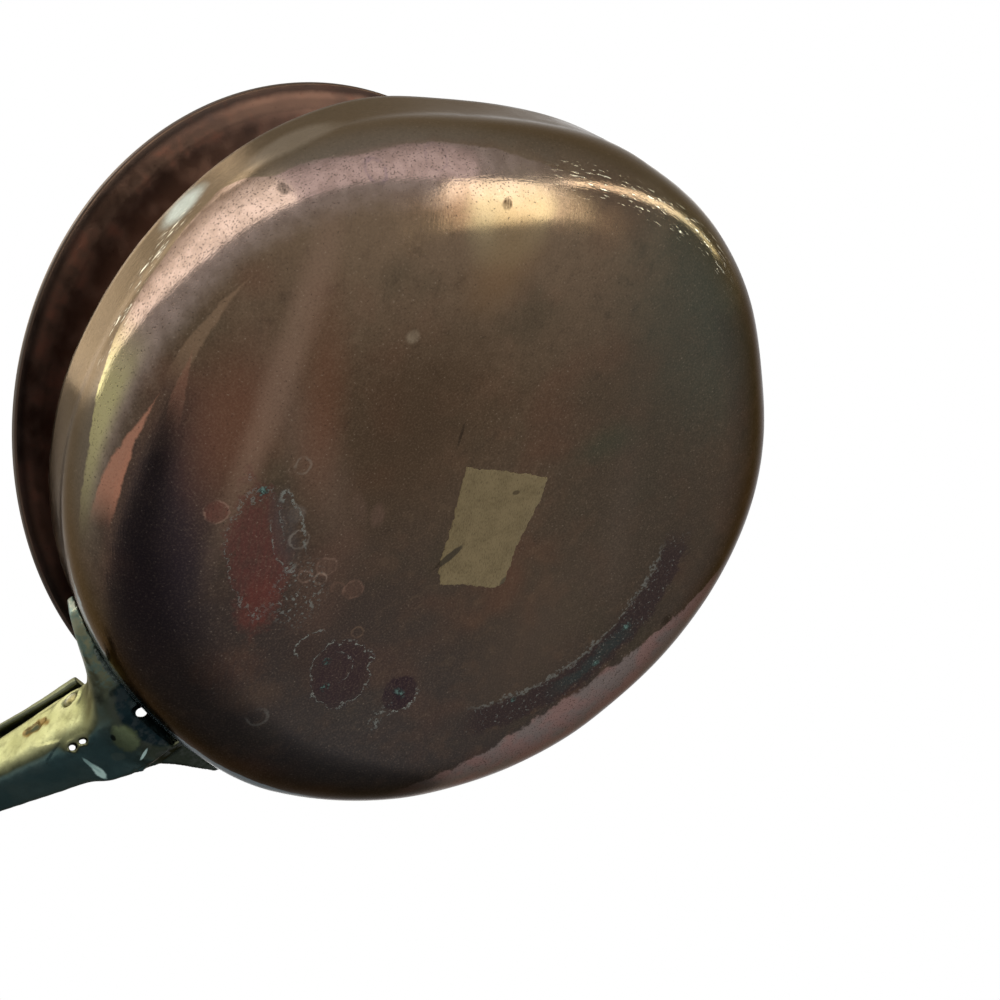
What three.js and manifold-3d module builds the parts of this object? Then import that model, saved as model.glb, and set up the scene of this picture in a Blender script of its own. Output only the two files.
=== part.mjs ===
// Silent butler: a round copper pan with a hinged copper lid and a cast brass handle.
// Millimetres, +Z up. The origin is the centre of the pan's flat base, and the handle points to +X.
// The lid stands open, held by its thumb lever, as it is when the pan is being filled.
import * as THREE from 'three';
import { mergeVertices } from 'three/addons/utils/BufferGeometryUtils.js';
import Module from 'manifold-3d';

const wasm = await Module();
wasm.setup();

// Driving dimensions
const RIM_RADIUS = 95;
const PAN_DEPTH = 40;
const PAN_SHEET = 1.3;
const CORNER_RADIUS = 27;
const WALL_FLARE = 1.5;
const LID_RADIUS = 98;
const LID_SHEET = 1.0;
const LID_FLANGE = 7;
const HEM_WIDTH = 3.5;
const HEM_HEIGHT = 1.7;
const HEM_ROUND = 0.4;
const LID_DOME = 7;
const LID_SHIFT = 2;
const LID_GAP = 0.5;
const HINGE_X = 110;
const HINGE_Z = 40.7;
const OPEN_ANGLE = THREE.MathUtils.degToRad(22.4);
const PIN_RADIUS = 1.6;
const FIT_GAP = 0.35;
const SLOT_HALF_WIDTH = 6.2;
const KNUCKLE_RADIUS = 3.9;
const KNUCKLE_HALF_WIDTH = 5.6;
const STRAP_HALF_WIDTH = 5.2;
const STRAP_THICKNESS = 2.2;
const FOOT_THICKNESS = 1.9;
const RIVET_SHANK = 1.4;
const RIVET_HEAD = 2.7;
const RIVET_PLACES = [77.5, 85.5];
const WING_ANGLE = 21;
const WING_BOTTOM = 24.9;

// Worked out from them
const WALL_RADIUS = RIM_RADIUS - WALL_FLARE;
const BASE_RADIUS = WALL_RADIUS - CORNER_RADIUS;
const LID_UNDERSIDE = PAN_DEPTH + LID_GAP;
const HEM_TOP = LID_UNDERSIDE + HEM_HEIGHT;
const DOME_RADIUS = LID_RADIUS - LID_FLANGE;

// Mesh detail
const ROUND_STEPS = 80;
const CORNER_STEPS = 9;
const PIN_STEPS = 24;
const SECTION_STEPS = 32;
const GRIP_STEPS = 30;
const BEAD_STEPS = 16;
const RIVET_STEPS = 20;

const copper = new THREE.MeshStandardMaterial({ color: 0x6b4a35, roughness: 0.35, metalness: 1 });
const lidCopper = new THREE.MeshStandardMaterial({ color: 0x4a2e28, roughness: 0.4, metalness: 1 });
const brass = new THREE.MeshStandardMaterial({ color: 0xa8955a, roughness: 0.4, metalness: 1 });
const pinBrass = new THREE.MeshStandardMaterial({ color: 0xc8b878, roughness: 0.3, metalness: 1 });
const braze = new THREE.MeshStandardMaterial({ color: 0x7f8f78, roughness: 0.7, metalness: 0.6 });

const model = new THREE.Group();
const lidGroup = new THREE.Group();

function addPiece(name, geometry, material, parent = model) {
  const mesh = new THREE.Mesh(geometry, material);
  mesh.name = name;
  parent.add(mesh);
  return mesh;
}

// Boolean helpers
function toSolid(geometry) {
  const bare = geometry.clone();
  bare.deleteAttribute('normal');
  bare.deleteAttribute('uv');
  const merged = mergeVertices(bare, 1e-4);
  const corners = merged.index.array;
  const triangles = [];
  for (let i = 0; i < corners.length; i += 3) {
    const [a, b, c] = [corners[i], corners[i + 1], corners[i + 2]];
    if (a !== b && b !== c && c !== a) triangles.push(a, b, c);
  }
  return new wasm.Manifold(new wasm.Mesh({
    numProp: 3,
    vertProperties: new Float32Array(merged.attributes.position.array),
    triVerts: new Uint32Array(triangles),
  }));
}

function toGeometry(solid) {
  const mesh = solid.getMesh();
  const geometry = new THREE.BufferGeometry();
  geometry.setAttribute('position', new THREE.BufferAttribute(new Float32Array(mesh.vertProperties), 3));
  geometry.setIndex(new THREE.BufferAttribute(new Uint32Array(mesh.triVerts), 1));
  geometry.computeVertexNormals();
  return geometry;
}

// Shape helpers: each outline is a list of [across, up] points
function extrude(outline, depth) {
  const shape = new THREE.Shape(outline.map(([u, v]) => new THREE.Vector2(u, v)));
  return new THREE.ExtrudeGeometry(shape, { depth, bevelEnabled: false });
}

function planPrism(outline, bottom, top) {
  return extrude(outline, top - bottom).translate(0, 0, bottom);
}

function sidePrism(outline, halfWidth) {
  return extrude(outline, 2 * halfWidth).rotateX(Math.PI / 2).translate(0, halfWidth, 0);
}

function frontPrism(outline, near, far) {
  const turn = new THREE.Matrix4().makeBasis(
    new THREE.Vector3(0, 1, 0), new THREE.Vector3(0, 0, 1), new THREE.Vector3(1, 0, 0));
  return extrude(outline, far - near).applyMatrix4(turn).translate(near, 0, 0);
}

// A turned piece: each profile point is [radius, height]
function turned(profile, steps = ROUND_STEPS) {
  const points = profile.map(([r, z]) => new THREE.Vector2(r, z));
  return new THREE.LatheGeometry(points, steps).rotateX(Math.PI / 2);
}

function crossPin(radius, halfLength) {
  return new THREE.CylinderGeometry(radius, radius, 2 * halfLength, PIN_STEPS);
}

function arc(centreR, centreZ, radius, from, to, steps) {
  const points = [];
  for (let i = 0; i <= steps; i += 1) {
    const angle = from + (to - from) * i / steps;
    points.push([centreR + radius * Math.cos(angle), centreZ + radius * Math.sin(angle)]);
  }
  return points;
}

// Outside of the pan, moved outwards by an offset
function panOutline(offset) {
  return [
    ...arc(BASE_RADIUS, CORNER_RADIUS, CORNER_RADIUS + offset, -Math.PI / 2, 0, CORNER_STEPS),
    [RIM_RADIUS + offset, PAN_DEPTH],
  ];
}

function panRadiusAt(z) {
  if (z >= CORNER_RADIUS) {
    return WALL_RADIUS + WALL_FLARE * (z - CORNER_RADIUS) / (PAN_DEPTH - CORNER_RADIUS);
  }
  return BASE_RADIUS + Math.sqrt(CORNER_RADIUS ** 2 - (CORNER_RADIUS - z) ** 2);
}

// Pan: one sheet, flat below, with a large rounded corner and a slightly flared wall
function makePan() {
  const profile = [[0, 0], ...panOutline(0), ...panOutline(-PAN_SHEET).reverse(), [0, PAN_SHEET]];
  return turned(profile);
}

// Handle: a tapering grip that rises from a fork, whose two wings hug the pan
const gripBottomAt = (x) => 23.3 + 0.445 * (x - HINGE_X);
const gripTopAt = (x) => 45.5 + 0.205 * (x - HINGE_X);
const gripHalfWidthAt = (x) => 8.8 - 0.08 * (x - HINGE_X);
const CASTING_SQUARENESS = 5.5;

function straightStation(x, top = gripTopAt(x)) {
  return [x, gripBottomAt(x), top, gripHalfWidthAt(x), CASTING_SQUARENESS];
}

// Each station is x, bottom, top, half width and how square the section is
const GRIP_STATIONS = [
  straightStation(101.5, 41.6),
  straightStation(104.5, 43.2),
  straightStation(107.5, 44.7),
  ...[111, 115, 120, 130, 140, 150].map((x) => straightStation(x)),
  [165, 47.6, 56.3, 5.3, 4.2],
  [180, 51.6, 59.1, 5.7, 3.4],
  [195, 54.6, 61.6, 6.6, 3],
  [210, 56.8, 63.4, 7.6, 2.8],
  [222, 58.1, 64.3, 8.1, 2.6],
  [230, 59.0, 64.3, 7.2, 2.4],
  [234.5, 60.2, 63.6, 4.6, 2.2],
  [236, 61.2, 62.8, 1.8, 2],
];

function stationCurve(column) {
  const points = GRIP_STATIONS.map((station) => new THREE.Vector2(station[0], station[column]));
  return new THREE.SplineCurve(points);
}

function gripSection(x, bottom, top, halfWidth, squareness) {
  const middle = (bottom + top) / 2;
  const halfHeight = (top - bottom) / 2;
  const bend = (value) => Math.sign(value) * Math.abs(value) ** (2 / squareness);
  const ring = [];
  for (let i = 0; i < SECTION_STEPS; i += 1) {
    const angle = (i + 0.5) / SECTION_STEPS * 2 * Math.PI;
    ring.push([x, halfWidth * bend(Math.cos(angle)), middle + halfHeight * bend(Math.sin(angle))]);
  }
  return ring;
}

function loft(rings) {
  const count = rings[0].length;
  const positions = rings.flat(2);
  const triangles = [];
  for (let i = 0; i + 1 < rings.length; i += 1) {
    for (let j = 0; j < count; j += 1) {
      const a = i * count + j;
      const b = i * count + (j + 1) % count;
      triangles.push(a, b, a + count, b, b + count, a + count);
    }
  }
  const last = (rings.length - 1) * count;
  for (let j = 1; j + 1 < count; j += 1) {
    triangles.push(0, j + 1, j, last, last + j, last + j + 1);
  }
  const geometry = new THREE.BufferGeometry();
  geometry.setAttribute('position', new THREE.Float32BufferAttribute(positions, 3));
  geometry.setIndex(triangles);
  return geometry;
}

function makeGrip() {
  const curves = [1, 2, 3, 4].map(stationCurve);
  const rings = [];
  for (let i = 0; i <= GRIP_STEPS; i += 1) {
    const samples = curves.map((curve) => curve.getPoint(i / GRIP_STEPS));
    rings.push(gripSection(samples[0].x, ...samples.map((sample) => sample.y)));
  }
  return loft(rings);
}

// Cutting and joining outlines run from below to above the whole casting
const BELOW_ALL = 10;
const ABOVE_ALL = 60;

// Each wing's outer face: degrees round the pan from the handle, and its distance from the pan's rim
const WING_FACE = [[4.2, 13.4], [5.2, 10.6], [6.3, 8.6], [7.5, 7.2], [9.2, 5.6], [12.3, 3.9], [15, 3.0],
  [17.7, 2.3], [19.8, 1.7]];
const FORK_BACK = 112;

// The fork's outlines, seen from the side as [x, z] and from the front as [y, z]
const FORK_SIDE = [[80, 20], [101, 20], [106, 23], [FORK_BACK, 27.4], [FORK_BACK, 42], [107, 42],
  [101, 39.9], [80, 39.9]];
const FORK_FRONT_HALF = [[8, 20], [9.8, 22.8], [12.5, WING_BOTTOM], [20, WING_BOTTOM], [26, 25.4],
  [30, 28.6], [33.4, 33.4], [36, 37.4], [31, 39.9], [25, 45]];

function mirrored(half) {
  return [...half, ...half.map(([across, up]) => [-across, up]).reverse()];
}

function makeWings() {
  const onCircle = (radius, degrees) => {
    const angle = THREE.MathUtils.degToRad(degrees);
    return [radius * Math.cos(angle), radius * Math.sin(angle)];
  };
  const face = WING_FACE.map(([degrees, distance]) => onCircle(RIM_RADIUS + distance, degrees));
  const tip = onCircle(WALL_RADIUS - 2, WING_ANGLE);
  const back = [FORK_BACK, gripHalfWidthAt(FORK_BACK) - 1.5];
  const half = [tip, ...face.reverse(), back];
  const plan = [...half, ...half.map(([x, y]) => [x, -y]).reverse()];
  return toSolid(planPrism(plan, BELOW_ALL, ABOVE_ALL))
    .intersect(toSolid(sidePrism(FORK_SIDE, 60)))
    .intersect(toSolid(frontPrism(mirrored(FORK_FRONT_HALF), 70, 130)));
}

// Fork: open between the wings, bridged by a web, with a through slot behind it for the lid's knuckle
const WEB_FRONT = 100.8;
const WEB_BACK = 105;
const WEB_TOP = 33.5;
const CROTCH_HALF_WIDTH = 8;
const SLOT_BACK_BELOW = 113.5;
const SLOT_BACK_ABOVE = 120.5;
const RECESS_RADIUS = 2.5;
const RECESS_DEPTH = 0.8;

function makeHandle() {
  const panRoom = turned([[0, -5], [BASE_RADIUS, -5], ...panOutline(FIT_GAP),
    [RIM_RADIUS + FIT_GAP, ABOVE_ALL], [0, ABOVE_ALL]]);
  const crotch = sidePrism([[85, BELOW_ALL], [WEB_FRONT, BELOW_ALL], [WEB_FRONT, WEB_TOP],
    [WEB_BACK, WEB_TOP], [WEB_BACK, ABOVE_ALL], [85, ABOVE_ALL]], CROTCH_HALF_WIDTH);
  const slot = sidePrism([[WEB_BACK, BELOW_ALL], [SLOT_BACK_BELOW, BELOW_ALL], [SLOT_BACK_BELOW, 30],
    [SLOT_BACK_ABOVE, 50], [SLOT_BACK_ABOVE, ABOVE_ALL], [WEB_BACK, ABOVE_ALL]], SLOT_HALF_WIDTH);
  const bore = crossPin(PIN_RADIUS + FIT_GAP, 20).translate(HINGE_X, 0, HINGE_Z);
  const recessHalfDepth = 5;
  const recessMiddle = gripHalfWidthAt(HINGE_X) - RECESS_DEPTH + recessHalfDepth;
  let handle = toSolid(makeGrip()).add(makeWings());
  for (const side of [-1, 1]) {
    const recess = crossPin(RECESS_RADIUS, recessHalfDepth).translate(HINGE_X, side * recessMiddle, HINGE_Z);
    handle = handle.subtract(toSolid(recess));
  }
  for (const cut of [panRoom, crotch, slot, bore]) {
    handle = handle.subtract(toSolid(cut));
  }
  return toGeometry(handle);
}

// Hinge pin: a plain rod with rounded ends, held in the two cheeks of the fork
const PIN_END_INSET = 0.2;
const PIN_END_ROUND = 0.5;

function makeHingePin() {
  const reach = gripHalfWidthAt(HINGE_X) - PIN_END_INSET;
  const round = PIN_END_ROUND;
  return turned([[0, -reach], [PIN_RADIUS - round, -reach], [PIN_RADIUS, -reach + round],
    [PIN_RADIUS, reach - round], [PIN_RADIUS - round, reach], [0, reach]], PIN_STEPS)
    .rotateX(Math.PI / 2);
}

// Braze beads: filler run along the lower edge of each wing, where it meets the pan
const BEAD_RADIUS = 0.6;
const BEAD_STAND_OFF = 1.0;
const BEAD_SIDES = 8;
const BEAD_ANGLES = [9.5, 11, 12.5, 14, 15.5];

function makeBead(side) {
  const z = WING_BOTTOM - BEAD_STAND_OFF;
  const points = BEAD_ANGLES.map((degrees) => {
    const angle = THREE.MathUtils.degToRad(degrees);
    const radius = panRadiusAt(z) + BEAD_STAND_OFF;
    return new THREE.Vector3(radius * Math.cos(angle), side * radius * Math.sin(angle), z);
  });
  const ring = arc(0, 0, BEAD_RADIUS, 0, 2 * Math.PI, BEAD_SIDES).slice(0, BEAD_SIDES);
  const section = new THREE.Shape(ring.map(([u, v]) => new THREE.Vector2(u, v)));
  const path = new THREE.CatmullRomCurve3(points);
  return new THREE.ExtrudeGeometry(section, { steps: BEAD_STEPS, extrudePath: path, bevelEnabled: false });
}

// Lid, in its closed place: a low dome with a flat flange and a folded hem at its edge
const LID_RINGS = [0, 12, 25, 38, 50, 61, 71, 80, 86, DOME_RADIUS];
const domeRiseAt = (r) => LID_DOME * (1 - (r / DOME_RADIUS) ** 2);
const lidTopAt = (x) => LID_UNDERSIDE + LID_SHEET + domeRiseAt(x - LID_SHIFT);

// Places a piece of the lid's riveting square to the dome at x
function onDome(geometry, x) {
  const slope = Math.atan(2 * LID_DOME * (x - LID_SHIFT) / DOME_RADIUS ** 2);
  return geometry.rotateY(slope).translate(x, 0, lidTopAt(x));
}

function drillForRivets(solid) {
  let drilled = solid;
  for (const x of RIVET_PLACES) {
    const drill = crossPin(RIVET_SHANK + FIT_GAP, 10).rotateX(Math.PI / 2);
    drilled = drilled.subtract(toSolid(onDome(drill, x)));
  }
  return drilled;
}

function makeLid() {
  const below = LID_RINGS.map((r) => [r, LID_UNDERSIDE + domeRiseAt(r)]);
  const above = LID_RINGS.map((r) => [r, LID_UNDERSIDE + LID_SHEET + domeRiseAt(r)]).reverse();
  const hem = [
    [LID_RADIUS - HEM_ROUND, LID_UNDERSIDE],
    [LID_RADIUS, LID_UNDERSIDE + HEM_ROUND],
    [LID_RADIUS, HEM_TOP - HEM_ROUND],
    [LID_RADIUS - HEM_ROUND, HEM_TOP],
    [LID_RADIUS - HEM_WIDTH, HEM_TOP],
    [LID_RADIUS - HEM_WIDTH, LID_UNDERSIDE + LID_SHEET],
  ];
  const blank = turned([...below, ...hem, ...above]).translate(LID_SHIFT, 0, 0);
  return toGeometry(drillForRivets(toSolid(blank)));
}

// Lid lever, in its closed place: a strap riveted on the lid, a knuckle on the pin and a thumb plate
const FOOT_PLACES = [74, 79, 84, 89, 93];

// The thumb plate lies along the handle when the lid is open: x, underside, top, half width
const PLATE_STATIONS = [
  [107.6, 45.9, 48.5, 8.5],
  [112, 46.7, 49.5, 8.2],
  [118, 48.3, 50.8, 7.7],
  [124, 50.2, 52.2, 7.3],
  [136, 53.2, 55.0, 7.2],
  [146, 55.8, 57.6, 7.7],
  [152, 58.0, 59.6, 6.7],
];
const PLATE_EDGE = 0.5;

// The plate's root, which joins it to the knuckle, as [x, z] with the lid open
const ROOT_SIDE = [[107.6, 41], [112.4, 41], [113.4, 48], [107.9, 47.6]];

function makePlate() {
  const rings = PLATE_STATIONS.map(([x, bottom, top, halfWidth]) => {
    const flat = halfWidth - PLATE_EDGE;
    return [
      [x, halfWidth, top - PLATE_EDGE], [x, flat, top],
      [x, -flat, top], [x, -halfWidth, top - PLATE_EDGE],
      [x, -halfWidth, bottom + PLATE_EDGE], [x, -flat, bottom],
      [x, flat, bottom], [x, halfWidth, bottom + PLATE_EDGE],
    ];
  });
  return loft(rings);
}

function closeLid(geometry) {
  return geometry.translate(-HINGE_X, 0, -HINGE_Z).rotateY(-OPEN_ANGLE).translate(HINGE_X, 0, HINGE_Z);
}

function makeStrap() {
  const foot = FOOT_PLACES.map((x) => [x, lidTopAt(x) + FIT_GAP]);
  const footTop = foot.slice(0, -1).reverse().map(([x, z]) => [x, z + FOOT_THICKNESS]);
  const hemClear = HEM_TOP + FIT_GAP;
  const under = [[96, hemClear], [101.4, hemClear], [105, 40.2], [108, 38.2]];
  const over = [[110, 44.4], [105.5, 45.4], [101, 45], [93, hemClear + STRAP_THICKNESS]];
  return sidePrism([...foot, ...under, ...over, ...footTop], STRAP_HALF_WIDTH);
}

function makeLidLever() {
  const knuckle = crossPin(KNUCKLE_RADIUS, KNUCKLE_HALF_WIDTH).translate(HINGE_X, 0, HINGE_Z);
  const bore = crossPin(PIN_RADIUS + FIT_GAP, 20).translate(HINGE_X, 0, HINGE_Z);
  const root = closeLid(sidePrism(ROOT_SIDE, KNUCKLE_HALF_WIDTH));
  const lever = toSolid(makeStrap())
    .add(toSolid(knuckle))
    .add(toSolid(root))
    .add(toSolid(closeLid(makePlate())))
    .subtract(toSolid(bore));
  return toGeometry(drillForRivets(lever));
}

// Rivets: a domed head over the strap and a flat one under the lid
const TAIL_THICKNESS = 0.9;
const HEAD_PROFILE = [[1, 0], [0.8, 0.9], [0.45, 1.4], [0, 1.55]];

function makeRivet(x) {
  const under = -LID_SHEET - FIT_GAP;
  const over = FIT_GAP + FOOT_THICKNESS + FIT_GAP;
  const tail = [[0, under - TAIL_THICKNESS], [RIVET_HEAD - 0.6, under - TAIL_THICKNESS],
    [RIVET_HEAD, under], [RIVET_SHANK, under], [RIVET_SHANK, over]];
  const head = HEAD_PROFILE.map(([share, rise]) => [RIVET_HEAD * share, over + rise]);
  return onDome(turned([...tail, ...head], RIVET_STEPS), x);
}

addPiece('pan', makePan(), copper);
addPiece('handle', makeHandle(), brass);
const hingePin = addPiece('hinge_pin', makeHingePin(), pinBrass);
hingePin.position.set(HINGE_X, 0, HINGE_Z);
addPiece('braze_bead_left', makeBead(1), braze);
addPiece('braze_bead_right', makeBead(-1), braze);

// The lid's pieces turn together about the hinge pin, from their closed place to the open one
lidGroup.position.set(HINGE_X, 0, HINGE_Z);
lidGroup.rotation.y = OPEN_ANGLE;
const closedPlace = new THREE.Group();
closedPlace.position.set(-HINGE_X, 0, -HINGE_Z);
lidGroup.add(closedPlace);
model.add(lidGroup);
addPiece('lid', makeLid(), lidCopper, closedPlace);
addPiece('lid_lever', makeLidLever(), brass, closedPlace);
RIVET_PLACES.forEach((x, i) => addPiece(`lid_rivet_${i + 1}`, makeRivet(x), brass, closedPlace));

export default model;
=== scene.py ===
import math

import bpy
import numpy as np
from mathutils import Matrix, Vector


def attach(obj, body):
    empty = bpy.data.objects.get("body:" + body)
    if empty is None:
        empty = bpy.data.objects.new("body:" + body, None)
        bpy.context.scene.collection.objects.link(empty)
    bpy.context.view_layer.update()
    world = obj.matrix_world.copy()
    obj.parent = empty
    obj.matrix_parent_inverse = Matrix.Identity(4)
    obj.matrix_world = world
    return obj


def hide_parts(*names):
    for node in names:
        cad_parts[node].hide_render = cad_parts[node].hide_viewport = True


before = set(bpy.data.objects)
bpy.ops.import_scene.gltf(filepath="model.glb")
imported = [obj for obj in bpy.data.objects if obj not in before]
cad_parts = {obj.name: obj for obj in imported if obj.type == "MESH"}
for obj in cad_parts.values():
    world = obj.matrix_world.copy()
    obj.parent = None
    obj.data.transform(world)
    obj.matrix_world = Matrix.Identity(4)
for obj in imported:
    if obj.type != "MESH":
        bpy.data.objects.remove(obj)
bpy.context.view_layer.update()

# Sizes are in millimetres here, and this turns them into Blender's metres
MM = 0.001

# Camera: a pinhole at the photograph's viewpoint, below the pan and to its side
CAMERA_PLACE = (16.90, 149.33, -185.94)
CAMERA_RIGHT = (-0.7956, -0.4305, -0.4263)
CAMERA_BACK = (0.0975, 0.6036, -0.7913)
CAMERA_LENS = 35.93
CAMERA_SENSOR = 36.0

# Pan, as in the CAD
RIM_RADIUS = 95.0
PAN_DEPTH = 40.0
PAN_SHEET = 1.3
CORNER_RADIUS = 27.0
WALL_FLARE = 1.5
WALL_RADIUS = RIM_RADIUS - WALL_FLARE
BASE_RADIUS = WALL_RADIUS - CORNER_RADIUS

# Lid and hinge, as in the CAD
LID_RADIUS = 98.0
LID_SHEET = 1.0
LID_FLANGE = 7.0
HEM_WIDTH = 3.5
HEM_HEIGHT = 1.7
LID_DOME = 7.0
LID_SHIFT = 2.0
LID_UNDERSIDE = 40.5
HINGE = Vector((110.0, 0.0, 40.7))
OPEN_ANGLE = math.radians(22.4)
DOME_RADIUS = LID_RADIUS - LID_FLANGE
RIVET_PLACES = (77.5, 85.5)


# Mesh helpers
def add_object(name, data):
    made = bpy.data.objects.new(name, data)
    bpy.context.scene.collection.objects.link(made)
    return made


def make_piece(mesh, material, body, replaced=None):
    """Adds a shown piece, named as its mesh, that rides on a body and may stand for a CAD node."""
    piece = add_object(mesh.name, mesh)
    mesh.materials.clear()
    mesh.materials.append(material)
    mesh.shade_smooth()
    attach(piece, body)
    if replaced:
        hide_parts(replaced)


def mesh_from(name, points, faces):
    """Makes a mesh from points in millimetres."""
    mesh = bpy.data.meshes.new(name)
    mesh.from_pydata((np.asarray(points) * MM).tolist(), [], faces)
    mesh.update()
    return mesh


def mark(mesh, name, values):
    """Stores one number for each vertex, for the mesh's material to read."""
    attribute = mesh.attributes.new(name, "FLOAT", "POINT")
    attribute.data.foreach_set("value", np.asarray(values, dtype=np.float32))


def smooth_step(none, full, value):
    """0 at one end and 1 at the other, with a smooth change between; none may be above full."""
    share = np.clip((value - none) / (full - none), 0.0, 1.0)
    return share * share * (3.0 - 2.0 * share)


def plateau(ends, value):
    """1 between the middle two of four ends, and 0 outside the outer two."""
    return smooth_step(ends[0], ends[1], value) * smooth_step(ends[3], ends[2], value)


# The mean of a ripple's waves is small, and this brings its tops to about 1
RIPPLE_GAIN = 1.6


def ripple(points, wavelength, seed, waves=7):
    """A smooth uneven height from about -1 to 1 at each point, made of a few crossing waves."""
    random = np.random.default_rng(seed)
    directions = random.normal(size=(waves, 3))
    directions /= np.linalg.norm(directions, axis=1)[:, None]
    lengths = wavelength * random.uniform(0.7, 1.5, waves)
    phases = random.uniform(0.0, 2.0 * math.pi, waves)
    angles = points @ directions.T * (2.0 * math.pi / lengths) + phases
    return np.sin(angles).mean(axis=1) * RIPPLE_GAIN


def uneven(points, *ripples):
    """The sum of ripples at each point, each given as its height, wavelength and seed."""
    return sum(height * ripple(points, wavelength, seed) for height, wavelength, seed in ripples)


def ring_faces(rings, steps):
    """Faces between a first point, rings of points, and a last point."""
    faces = []
    end = 1 + (rings - 1) * steps
    for j in range(steps):
        k = (j + 1) % steps
        faces.append((0, 1 + k, 1 + j))
        for a in range(1, end, steps):
            faces.append((a + j, a + k, a + steps + k, a + steps + j))
        faces.append((end + j, end + k, end + steps))
    return faces


def tube_faces(rings, sides):
    """Faces of a solid made of rings of points and closed flat at both ends."""
    last = (rings - 1) * sides
    faces = [tuple(range(sides - 1, -1, -1)), tuple(range(last, last + sides))]
    for a in range(0, last, sides):
        for j in range(sides):
            k = (j + 1) % sides
            faces.append((a + j, a + k, a + sides + k, a + sides + j))
    return faces


def flipped(faces):
    """The same faces, turned to look the other way."""
    return [(face[0], *face[:0:-1]) for face in faces]


def lathe(profile, steps):
    """Points and faces of a turned piece whose profile of [radius, height] starts and ends on the axis."""
    angles = np.arange(steps) * 2.0 * math.pi / steps
    points = [[0.0, 0.0, profile[0][1]]]
    for radius, height in profile[1:-1]:
        ring = np.stack([radius * np.cos(angles), radius * np.sin(angles), np.full(steps, height)], axis=1)
        points.extend(ring.tolist())
    points.append([0.0, 0.0, profile[-1][1]])
    return np.array(points), ring_faces(len(profile) - 2, steps)


def arc(centre, radius, start, end, steps):
    """Points of [radius, height] on a circular arc, between two angles in degrees."""
    angles = np.radians(np.linspace(start, end, steps + 1))
    return [[centre[0] + radius * math.cos(a), centre[1] + radius * math.sin(a)] for a in angles]


def line(start, end, steps):
    """Points of [radius, height] on a straight line, without its last point."""
    share = np.linspace(0.0, 1.0, steps + 1)[:-1, None]
    return (np.asarray(start, float) * (1.0 - share) + np.asarray(end, float) * share).tolist()


# Pan: one spun sheet, a little out of round and gently dented by use
PAN_STEPS = 320
LIP_STEPS = 8
OUT_OF_ROUND_COS = {2: 1.04, 3: -0.19, 5: -0.10}
OUT_OF_ROUND_SIN = {2: -0.44, 3: -0.72, 4: -0.23, 5: 0.34, 6: -0.62}
HANDLE_CLEAR = (24.0, 50.0)
# Each dent is its bearing in degrees, height, width across, width up and depth
PAN_DENTS = (
    (122, 30, 20, 16, 1.0),
    (171, 16, 13, 10, 0.35),
    (-75, 31, 16, 12, 0.5),
    (60, 12, 22, 9, 0.25),
    (157, 22, 13, 12, 0.55),
    (-168, 12, 15, 10, 0.75),
    (-129, 8, 15, 10, 0.45),
    (-60, 8, 22, 10, 0.45),
    (-20, 14, 22, 9, -1.6),
    (150, 40, 14, 8, 0.35),
    (147, 27, 12, 7, -0.35),
    (112, 40, 12, 9, -0.5),
)
WALL_RIPPLE = (0.12, 26.0, 3)
BASE_RIPPLE = (0.16, 55.0, 5)
# Distances from the pan's axis where the dents and ripples come in, and where the base's own goes out
DENT_REACH = (60.0, 85.0)
RIPPLE_REACH = (62.0, 84.0)
BASE_REACH = (80.0, 60.0)


def wrapped(degrees):
    return (degrees + 180.0) % 360.0 - 180.0


def base_rise(points):
    """How far the base stands above flat, and so what lies on it too."""
    return BASE_RIPPLE[0] + uneven(points * [1.0, 1.0, 0.0], BASE_RIPPLE)


def use_pan(points):
    """Moves a round pan's points to where years of use have left them."""
    radius = np.hypot(points[:, 0], points[:, 1])
    bearing = np.arctan2(points[:, 1], points[:, 0])
    away = smooth_step(*HANDLE_CLEAR, np.abs(np.degrees(bearing)))
    change = sum(size * np.cos(k * bearing) for k, size in OUT_OF_ROUND_COS.items())
    change = change + sum(size * np.sin(k * bearing) for k, size in OUT_OF_ROUND_SIN.items())
    push = change * np.minimum(1.0, (radius / WALL_RADIUS) ** 4) * away
    for place, height, across, up, depth in PAN_DENTS:
        sideways = np.radians(wrapped(np.degrees(bearing) - place)) * radius
        reach = np.exp(-((sideways / across) ** 2) - ((points[:, 2] - height) / up) ** 2)
        push = push - depth * reach * smooth_step(*DENT_REACH, radius)
    push = push + uneven(points, WALL_RIPPLE) * smooth_step(*RIPPLE_REACH, radius) * away
    moved = points.copy()
    moved[:, 0] += np.cos(bearing) * push
    moved[:, 1] += np.sin(bearing) * push
    moved[:, 2] += base_rise(points) * smooth_step(*BASE_REACH, radius)
    return moved


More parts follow.
